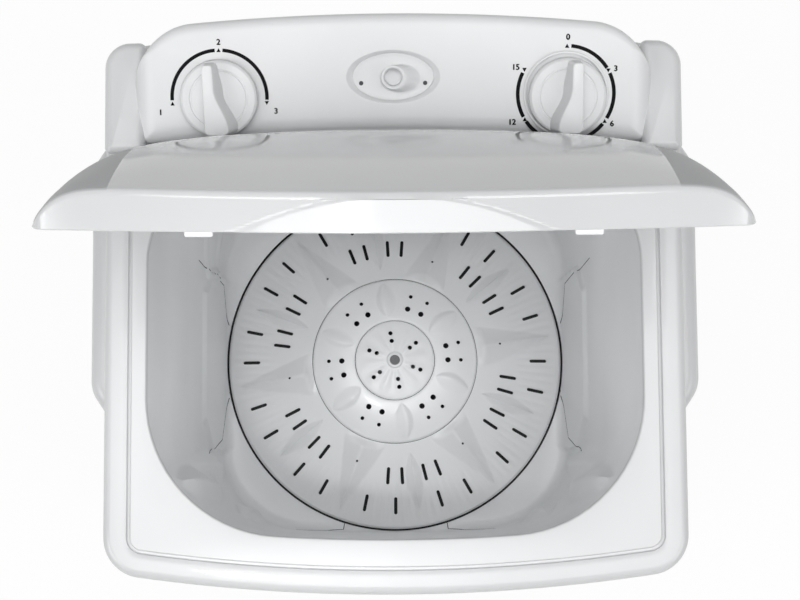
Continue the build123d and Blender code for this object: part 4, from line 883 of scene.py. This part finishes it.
def lid_solid(name):
    """The lid's outer and inner skins, joined round the rim."""
    outer, inner = lid_grid(0, 0), lid_grid(LID_WALL, LID_WALL)
    columns, rows = len(outer), len(outer[0])
    verts, faces = [], []
    border = list(range(rows))
    border += [i * rows + rows - 1 for i in range(1, columns)]
    border += [(columns - 1) * rows + j for j in range(rows - 2, -1, -1)]
    border += [i * rows for i in range(columns - 2, 0, -1)]

    def add_grid(grid, flip):
        base = len(verts)
        for column in grid:
            verts.extend(lid_point(*p) for p in column)
        for i in range(columns - 1):
            for j in range(rows - 1):
                a = base + i * rows + j
                quad = (a, a + 1, a + rows + 1, a + rows)
                faces.append(quad[::-1] if flip else quad)
        return [base + k for k in border]

    outer_border = add_grid(outer, False)
    inner_border = add_grid(inner, True)

    def border_places(grid):
        return [grid[k // rows][k % rows] for k in border]

    def add_loop(places):
        base = len(verts)
        verts.extend(lid_point(*place) for place in places)
        return list(range(base, base + len(places)))

    chain = [outer_border]
    for level in range(1, 33):
        places = [front_wall(*place, level / 32) for place in border_places(outer)]
        chain.append(add_loop(places))
    chain.append(add_loop([(x * 0.998, u - 0.3 * (u > 250), -2.0) for x, u, _ in places]))
    chain.append(add_loop([(x, u, -2.0) for x, u, _ in border_places(inner)]))
    chain.append(inner_border)
    faces += bridge(chain)
    return mesh_object(name, verts, faces, 38)


lid = lid_solid("lid_shell")


def lid_box(x0, x1, u0, u1, t0, t1):
    """A box given in the closed lid's directions, in the open position."""
    corners = [(x, u, t) for x in (x0, x1) for u in (u0, u1) for t in (t0, t1)]
    verts = [lid_point(*c) for c in corners]
    faces = [(0, 1, 3, 2), (4, 6, 7, 5), (0, 4, 5, 1), (2, 3, 7, 6), (0, 2, 6, 4), (1, 5, 7, 3)]
    return mesh_object("box", verts, faces)


cut(lid, [lid_box(side * 150 - 4, side * 150 + 4, -16, 8, -16, 16) for side in (1, -1)])


BUMPER_X, BUMPER_HALF = 111.4, 8.2
bumpers = []
for side in (1, -1):
    middle = side * BUMPER_X
    pad = lid_box(middle - BUMPER_HALF, middle + BUMPER_HALF, 295, 306, -5.2, -1.6)
    bevel(pad, 1.1)
    bumpers.append(pad)
dress(join("bumper_pads", bumpers), tub_plastic, "lid", LID, "lid_bumpers")


lug_profile = arc(110, 700, 5.5, 0, 360, 28)
lugs = [hinge_tab(side, lug_profile, LUG_ACROSS, 0.6) for side in (1, -1)]
lid = join("lid_shell_with_lugs", [lid, *lugs])
dress(lid, lid_plastic, "lid", LID, "lid")

# The outer skin at the lid's two ends gets a duller, darker grey: painted shade
lid.data.materials.append(lid_end_painted_shade)
for face in lid.data.polygons:
    if abs(face.center.x) > LID_SHADE_X * MM and face.normal.y > 0.2:
        face.material_index = 1


# Control housing
def face_height(y):
    """Height of the control face above the rim at a depth y."""
    share = (y - HOUSING_FRONT_SIDE) / (HOUSING_REAR - HOUSING_FRONT_SIDE)
    chord = FACE_FRONT + (FACE_REAR - FACE_FRONT) * share
    return chord + 4 * FACE_CROWN * share * (1 - share)


def face_slope(y):
    share = (y - HOUSING_FRONT_SIDE) / (HOUSING_REAR - HOUSING_FRONT_SIDE)
    rise = (FACE_REAR - FACE_FRONT) + 4 * FACE_CROWN * (1 - 2 * share)
    return math.atan(rise / (HOUSING_REAR - HOUSING_FRONT_SIDE))


def face_matrix(x, y):
    """Local axes on the control face at a place: x across, y uphill, z square to it."""
    origin = Vector((x, y, RIM_TOP + face_height(y)))
    return Matrix.Translation(origin) @ Matrix.Rotation(face_slope(y), 4, "X")


def housing_edge(x):
    """Front and rear of the control housing at a place x."""
    share = min(abs(x) / HOUSING_HALF, 1)
    front = HOUSING_FRONT_MIDDLE - (HOUSING_FRONT_MIDDLE - HOUSING_FRONT_SIDE) * share * share
    rear = HOUSING_REAR - bow(min(abs(x), HOUSING_HALF), HOUSING_BOW)
    rear -= corner_drop(abs(x) - (HOUSING_HALF - HOUSING_BACK_CORNER), HOUSING_BACK_CORNER)
    front += corner_drop(abs(x) - (HOUSING_HALF - HOUSING_FRONT_CORNER), HOUSING_FRONT_CORNER)
    return front, rear


def housing_top(x, y, front, rear):
    """Height of the housing's skin: the face, rolled over at its edges and ends."""
    fall = 0.0
    for gap, radius in ((y - front, 9.0), (rear - y, 10.0), (HOUSING_HALF - abs(x), 17.0)):
        fall = max(fall, corner_drop(radius - max(gap, 0), radius))
    return RIM_TOP + face_height(y) - fall


def housing_solid(name):
    """The control housing: its rolled skin, its walls and a flat underside."""
    columns, rows = 140, 56
    grid, verts, faces = [], [], []
    for i in range(columns + 1):
        across = -math.cos(math.pi * i / columns)
        x = HOUSING_HALF * (0.5 * across + 0.5 * math.sin(across * math.pi / 2))
        front, rear = housing_edge(x)
        column = []
        for j in range(rows + 1):
            share = 0.5 - 0.5 * math.cos(math.pi * j / rows)
            share = 0.65 * share + 0.35 * j / rows
            y = front + (rear - front) * share
            column.append((x, y, housing_top(x, y, front, rear)))
        grid.append(column)
    for column in grid:
        verts.extend(column)
    count = rows + 1
    for i in range(columns):
        for j in range(rows):
            a = i * count + j
            faces.append((a, a + count, a + count + 1, a + 1))
    border = list(range(count))
    border += [i * count + rows for i in range(1, columns + 1)]
    border += [columns * count + j for j in range(rows - 1, -1, -1)]
    border += [i * count for i in range(columns - 1, 0, -1)]
    chain = [border]
    for z in (735, 700, RIM_TOP + 1.0):
        base = len(verts)
        for index in border:
            x, y, top = verts[index]
            verts.append((x, y, min(z, top - 0.5)))
        chain.append(list(range(base, base + len(border))))
    faces += bridge(chain)
    faces.append(tuple(chain[-1]))
    return mesh_object(name, verts, faces, 38)


def on_face(obj, x, y):
    """Move a mesh drawn in local millimetres onto the control face."""
    matrix = face_matrix(x, y)
    scale = Matrix.Scale(MM, 4)
    obj.data.transform(Matrix.Scale(1 / MM, 4))
    obj.data.transform(scale @ matrix)
    return obj


def ellipse(a, b, count=72):
    """Points of an oval with half widths a and b."""
    turns = [2 * math.pi * i / count for i in range(count)]
    return [(a * math.cos(turn), b * math.sin(turn)) for turn in turns]


def turned(name, profile, squash=1.0, count=96, ring=False):
    """A round or oval solid from (radius, height) steps."""
    loops = [at_height(ellipse(r, r * squash, count), z) for r, z in profile]
    return loft(name, loops, cap_first=not ring, cap_last=not ring, ring=ring)


housing = housing_solid("housing_shell")
recess_steps = [(25.4, -4.2), (28.0, -3.6), (30.4, -1.9), (31.6, -0.8)]
recess_steps += [(32.8, 0.0), (34.4, 0.5), (36.0, 8)]
recess = turned("recess", recess_steps, squash=0.575)
cut(housing, [on_face(recess, 0, INLET_Y)])
bevel(housing, 0.7, 2, 25)
dress(housing, console_plastic, "console", MACHINE, "control_housing")

# Water inlet: an oval dish and a nozzle whose foot spreads to one side. Each step has the
# oval's two half widths, its middle and its height on the face.
dish_steps = [
    (7.8, 7.8, 0, 0, -6.9),
    (7.8, 7.8, 0, 0, -4.0),
    (26.4, 15.0, 0, 0, -3.9),
    (28.4, 16.4, 0, 0, -2.5),
    (28.0, 16.2, 0, 0, -2.0),
    (25.8, 14.8, 0, 0, -2.4),
    (24.4, 13.8, 0, 0, -2.6),
    (14.4, 10.2, 5.0, -1.4, -2.6),
    (13.5, 9.5, 4.8, -1.3, -2.1),
    (11.8, 9.0, 3.4, -0.9, 0.2),
    (9.8, 8.6, 1.5, -0.4, 3.0),
    (8.7, 8.3, 0.4, -0.1, 4.5),
    (8.1, 8.1, 0, 0, 4.9),
    (7.0, 7.0, 0, 0, 4.9),
    (6.3, 6.3, 0, 0, 4.4),
    (6.0, 6.0, 0, 0, 3.4),
    (6.0, 6.0, 0, 0, -6.9),
]
dish_loops = [
    [(x + cx, y + cy, z) for x, y in ellipse(rx, ry, 96)] for rx, ry, cx, cy, z in dish_steps
]
dish = on_face(loft("dish", dish_loops, ring=True), 0, INLET_Y)
dress(dish, console_plastic, "console", MACHINE, "water_inlet")

head_steps = [(1.0, -6.0), (1.0, -3.0), (1.5, -2.6), (1.5, -2.3), (1.1, -2.0)]
inlet_heads = []
for side in (1, -1):
    head = turned("head", head_steps, count=24)
    head.data.transform(Matrix.Translation((side * 22.3 * MM, -4.5 * MM, 0)))
    inlet_heads.append(on_face(head, 0, INLET_Y))
dress(join("inlet_screw_heads", inlet_heads), dark_plastic, "dark", MACHINE, "inlet_screws")

# Ring under the right dial
collar = turned(
    "collar",
    [(27.8, 0.2), (29.6, 0.2), (29.8, 0.9), (29.2, 1.5), (28.3, 1.6), (27.8, 1.2)],
    ring=True,
)
on_face(collar, *TIMER_CENTRE)
dress(collar, console_plastic, "console", MACHINE)


# Dial knobs
KNOB_STEPS = [(3.0, 1.8), (26.2, 1.8), (27.0, 2.6), (27.0, 6.0), (26.4, 7.8), (25.0, 8.8)]
KNOB_STEPS += [(20.4, 9.0), (20.0, 8.4), (19.2, 8.4), (18.8, 9.0), (3.0, 9.2)]


def knob(name, side, turn):
    """A disc with a blade grip: one flank stands straight, the other sweeps out to the front."""
    base = turned("base", KNOB_STEPS, ring=True)
    rows = 34
    loops = []
    for lift, share_up in ((8.4, 0.0), (12.0, 0.2), (16.0, 0.45), (20.0, 0.72), (23.8, 1.0)):
        left, right = [], []
        for i in range(rows + 1):
            run = 0.5 - 0.5 * math.cos(math.pi * i / rows)
            y0, y1 = -24.6 + 0.8 * share_up, 25.2 - 0.6 * share_up
            y = y1 + (y0 - y1) * run
            foot = 0.6 + 3.0 * smoothstep(24, 5, y) + 9.0 * smoothstep(4, -20, y)
            crest = -1.8 + 8.9 * smoothstep(8, -20, y)
            near, far = -9.7 + 0.3 * share_up, foot + (crest - foot) * share_up
            end = min(y1 - y, y - y0)
            pinch = 0.45 + 0.55 * math.sqrt(max(1 - (1 - min(end / 3.2, 1)) ** 2, 0))
            middle = (near + far) / 2
            left.append((side * (middle + (near - middle) * pinch), y, lift))
            right.append((side * (middle + (far - middle) * pinch), y, lift))
        loops.append(left + right[::-1])
    blade = loft("blade", loops, cap_first=True, cap_last=True, smooth_angle=50)
    bevel(blade, 0.9, 3, 50)
    piece = join(name, [base, blade])
    piece.data.transform(Matrix.Rotation(math.radians(turn), 4, "Z"))
    return piece


left_knob = on_face(knob("selector_knob_shell", 1, 2), -DIAL_X, DIAL_Y)
dress(left_knob, knob_plastic, "knob", "selector", "selector_knob")
right_knob = on_face(knob("timer_knob_shell", -1, 0), DIAL_X, DIAL_Y)
dress(right_knob, knob_plastic, "knob", "timer", "timer_knob")


# Printed marks round the dials
def face_point(x, y, lift):
    """A place lifted square off the control face."""
    z = RIM_TOP + face_height(y)
    slope = face_slope(y)
    return (x, y - lift * math.sin(slope), z + lift * math.cos(slope))


def dial_place(centre, radius, clock):
    """Place on the face at a clock angle round a dial, in degrees from the top."""
    a = math.radians(clock)
    x, y = centre
    return x + radius * math.sin(a), y + radius * math.cos(a) * math.cos(face_slope(y))


def arc_mark(centre, inner, outer, start, end):
    """A printed band round a dial between two clock angles."""
    steps = max(int(abs(end - start) / 2), 2)
    verts, faces = [], []
    for lift in (0.02, 0.10):
        for i in range(steps + 1):
            clock = start + (end - start) * i / steps
            for radius in (inner, outer):
                verts.append(face_point(*dial_place(centre, radius, clock), lift))
    n = 2 * (steps + 1)
    for i in range(steps):
        a = 2 * i
        faces.append((n + a, n + a + 1, n + a + 3, n + a + 2))
        faces.append((a, a + 2, a + 3, a + 1))
        faces.append((a, a + n, a + 2 + n, a + 2))
        faces.append((a + 1, a + 3, a + 3 + n, a + 1 + n))
    faces.append((0, 1, n + 1, n))
    faces.append((n - 2, 2 * n - 2, 2 * n - 1, n - 1))
    return mesh_object("arc_mark", verts, faces)


def arrow_mark(centre, clock, radius, size):
    """Small triangle in the arc's band; its tip points up, or down for a negative size."""
    x, y = dial_place(centre, radius, clock)
    half = abs(size) * 0.58
    verts = []
    for lift in (0.02, 0.12):
        for across, up in ((0, size * 0.5), (half, -size * 0.5), (-half, -size * 0.5)):
            verts.append(face_point(x + across, y + up, lift))
    faces = [(0, 1, 2), (5, 4, 3), (0, 3, 4, 1), (1, 4, 5, 2), (2, 5, 3, 0)]
    return mesh_object("arrow_mark", verts, faces)


def number(text, centre, clock, radius, size=5.5):
    """A number set flat on the face."""
    curve = bpy.data.curves.new("number", "FONT")
    curve.body = text
    curve.size = size
    curve.align_x = "CENTER"
    curve.align_y = "CENTER"
    curve.extrude = 0.05
    holder = bpy.data.objects.new("number", curve)
    bpy.context.scene.collection.objects.link(holder)
    graph = bpy.context.evaluated_depsgraph_get()
    x, y = dial_place(centre, radius, clock)
    strokes = []
    for i, (across, up) in enumerate(((0, 0), (0.26, 0), (-0.26, 0), (0, 0.2), (0, -0.2))):
        mesh = bpy.data.meshes.new_from_object(holder.evaluated_get(graph))
        shift = Matrix.Translation((across, up, 0.08 + 0.004 * i))
        mesh.transform(Matrix.Scale(MM, 4) @ face_matrix(x, y) @ shift)
        strokes.append(bpy.data.objects.new("number", mesh))
    bpy.data.objects.remove(holder)
    return join("number", strokes)


left_marks = [arc_mark(SELECTOR_CENTRE, 31.8, 34.3, start, start + 88.4) for start in (-93, 4.6)]
for clock, size in ((-97, 2.6), (0, 2.6), (97, -2.6)):
    left_marks.append(arrow_mark(SELECTOR_CENTRE, clock, 33.1, size))
for text, clock, radius in (("1", -104, 42.6), ("2", 0, 38.6), ("3", 104, 40.4)):
    left_marks.append(number(text, SELECTOR_CENTRE, clock, radius))
dress(join("selector_marks", left_marks), print_ink, "dark", MACHINE)

right_marks = []
for start, end in ((6, 58), (65, 121), (129, 153), (-118.6, -64), (-144, -125)):
    right_marks.append(arc_mark(TIMER_CENTRE, 32.2, 34.8, start, end))
for clock, size in ((1, 2.7), (61.5, -2.7), (125, 2.7), (-121.8, 2.7), (-60, -2.7)):
    right_marks.append(arrow_mark(TIMER_CENTRE, clock, 33.4, size))
minutes = [("0", 1.8, 39.5), ("3", 63.5, 38.6), ("6", 123.1, 38.8)]
minutes += [("12", -117.8, 42.2), ("15", -62.1, 39.6)]
for text, clock, radius in minutes:
    right_marks.append(number(text, TIMER_CENTRE, clock, radius))
dress(join("timer_marks", right_marks), print_ink, "dark", MACHINE)


# Stage, light and camera
def floor_material():
    """White to the camera and to reflections, but it still takes the object's shadow."""
    material = bpy.data.materials.new("floor_white")
    material.use_nodes = True
    nodes, links = material.node_tree.nodes, material.node_tree.links
    nodes.clear()
    output = nodes.new("ShaderNodeOutputMaterial")
    path = nodes.new("ShaderNodeLightPath")
    diffuse = nodes.new("ShaderNodeBsdfDiffuse")
    diffuse.inputs["Color"].default_value = (0.9, 0.9, 0.9, 1)
    glow = nodes.new("ShaderNodeEmission")
    glow.inputs["Color"].default_value = (1, 1, 1, 1)
    either = nodes.new("ShaderNodeMath")
    either.operation = "MAXIMUM"
    links.new(path.outputs["Is Camera Ray"], either.inputs[0])
    links.new(path.outputs["Is Glossy Ray"], either.inputs[1])
    any_view = nodes.new("ShaderNodeMath")
    any_view.operation = "MAXIMUM"
    links.new(either.outputs["Value"], any_view.inputs[0])
    links.new(path.outputs["Is Transmission Ray"], any_view.inputs[1])
    seen = nodes.new("ShaderNodeMath")
    seen.operation = "MULTIPLY"
    seen.inputs[1].default_value = 0.93
    links.new(any_view.outputs["Value"], seen.inputs[0])
    mix = nodes.new("ShaderNodeMixShader")
    links.new(seen.outputs["Value"], mix.inputs["Fac"])
    links.new(diffuse.outputs["BSDF"], mix.inputs[1])
    links.new(glow.outputs["Emission"], mix.inputs[2])
    links.new(mix.outputs["Shader"], output.inputs["Surface"])
    return material


FLOOR_REACH = 6.0
corners = [(x * FLOOR_REACH, y * FLOOR_REACH, 0) for x, y in ((-1, -1), (1, -1), (1, 1), (-1, 1))]
floor_mesh = bpy.data.meshes.new("floor")
floor_mesh.from_pydata(corners, [], [(0, 1, 2, 3)])
floor = bpy.data.objects.new("floor", floor_mesh)
bpy.context.scene.collection.objects.link(floor)
floor_mesh.materials.append(floor_material())

world = bpy.data.worlds.new("studio")
bpy.context.scene.world = world
world.use_nodes = True
sky = world.node_tree.nodes["Background"]
sky.inputs["Color"].default_value = (1, 1, 1, 1)
sky.inputs["Strength"].default_value = 0.26


def lamp(name, place, target, size, power):
    """Soft rectangular lamp, in metres and watts, turned to its target."""
    light = bpy.data.lights.new(name, "AREA")
    light.shape = "RECTANGLE"
    light.size, light.size_y = size
    light.energy = power
    obj = bpy.data.objects.new(name, light)
    obj.location = place
    obj.rotation_euler = (Vector(target) - Vector(place)).to_track_quat("-Z", "Y").to_euler()
    bpy.context.scene.collection.objects.link(obj)


lamp("key", (0.05, -0.3, 5.2), (0, 0, 0.6), (3.2, 2.2), 103)
lamp("left", (-2.9, -1.4, 3.6), (0, 0, 0.7), (1.8, 1.8), 58)
lamp("right", (2.9, -1.4, 3.6), (0, 0, 0.7), (1.8, 1.8), 44)

# Narrow lamp through the tub's mouth onto the pulsator
tub_light = bpy.data.lights.new("tub", "SPOT")
tub_light.energy = 85
tub_light.spot_size = math.radians(5.4)
tub_light.spot_blend = 0.5
tub_light.shadow_soft_size = 0.1
tub_lamp = bpy.data.objects.new("tub_lamp", tub_light)
tub_lamp.location = (-0.30, -0.342, 3.3)
tub_lamp.rotation_euler = Vector((0.30, 0.300, -3.06)).to_track_quat("-Z", "Y").to_euler()
bpy.context.scene.collection.objects.link(tub_lamp)

# The picture's centre lies a few pixels beside the lens axis
PICTURE_WIDTH = 800
SHIFT_PIXELS = 5.5
camera_data = bpy.data.cameras.new("camera")
camera_data.sensor_width = 36
camera_data.lens = 87.75
camera_data.shift_x = SHIFT_PIXELS / PICTURE_WIDTH
camera = bpy.data.objects.new("camera", camera_data)
bpy.context.scene.collection.objects.link(camera)
tilt, roll = math.radians(6.15), math.radians(-0.35)
camera.matrix_world = (
    Matrix.Translation((0, -0.142, 2.090))
    @ Matrix.Rotation(tilt, 4, "X")
    @ Matrix.Rotation(roll, 4, "Z")
)
bpy.context.scene.camera = camera
bpy.context.scene.view_settings.view_transform = "Standard"
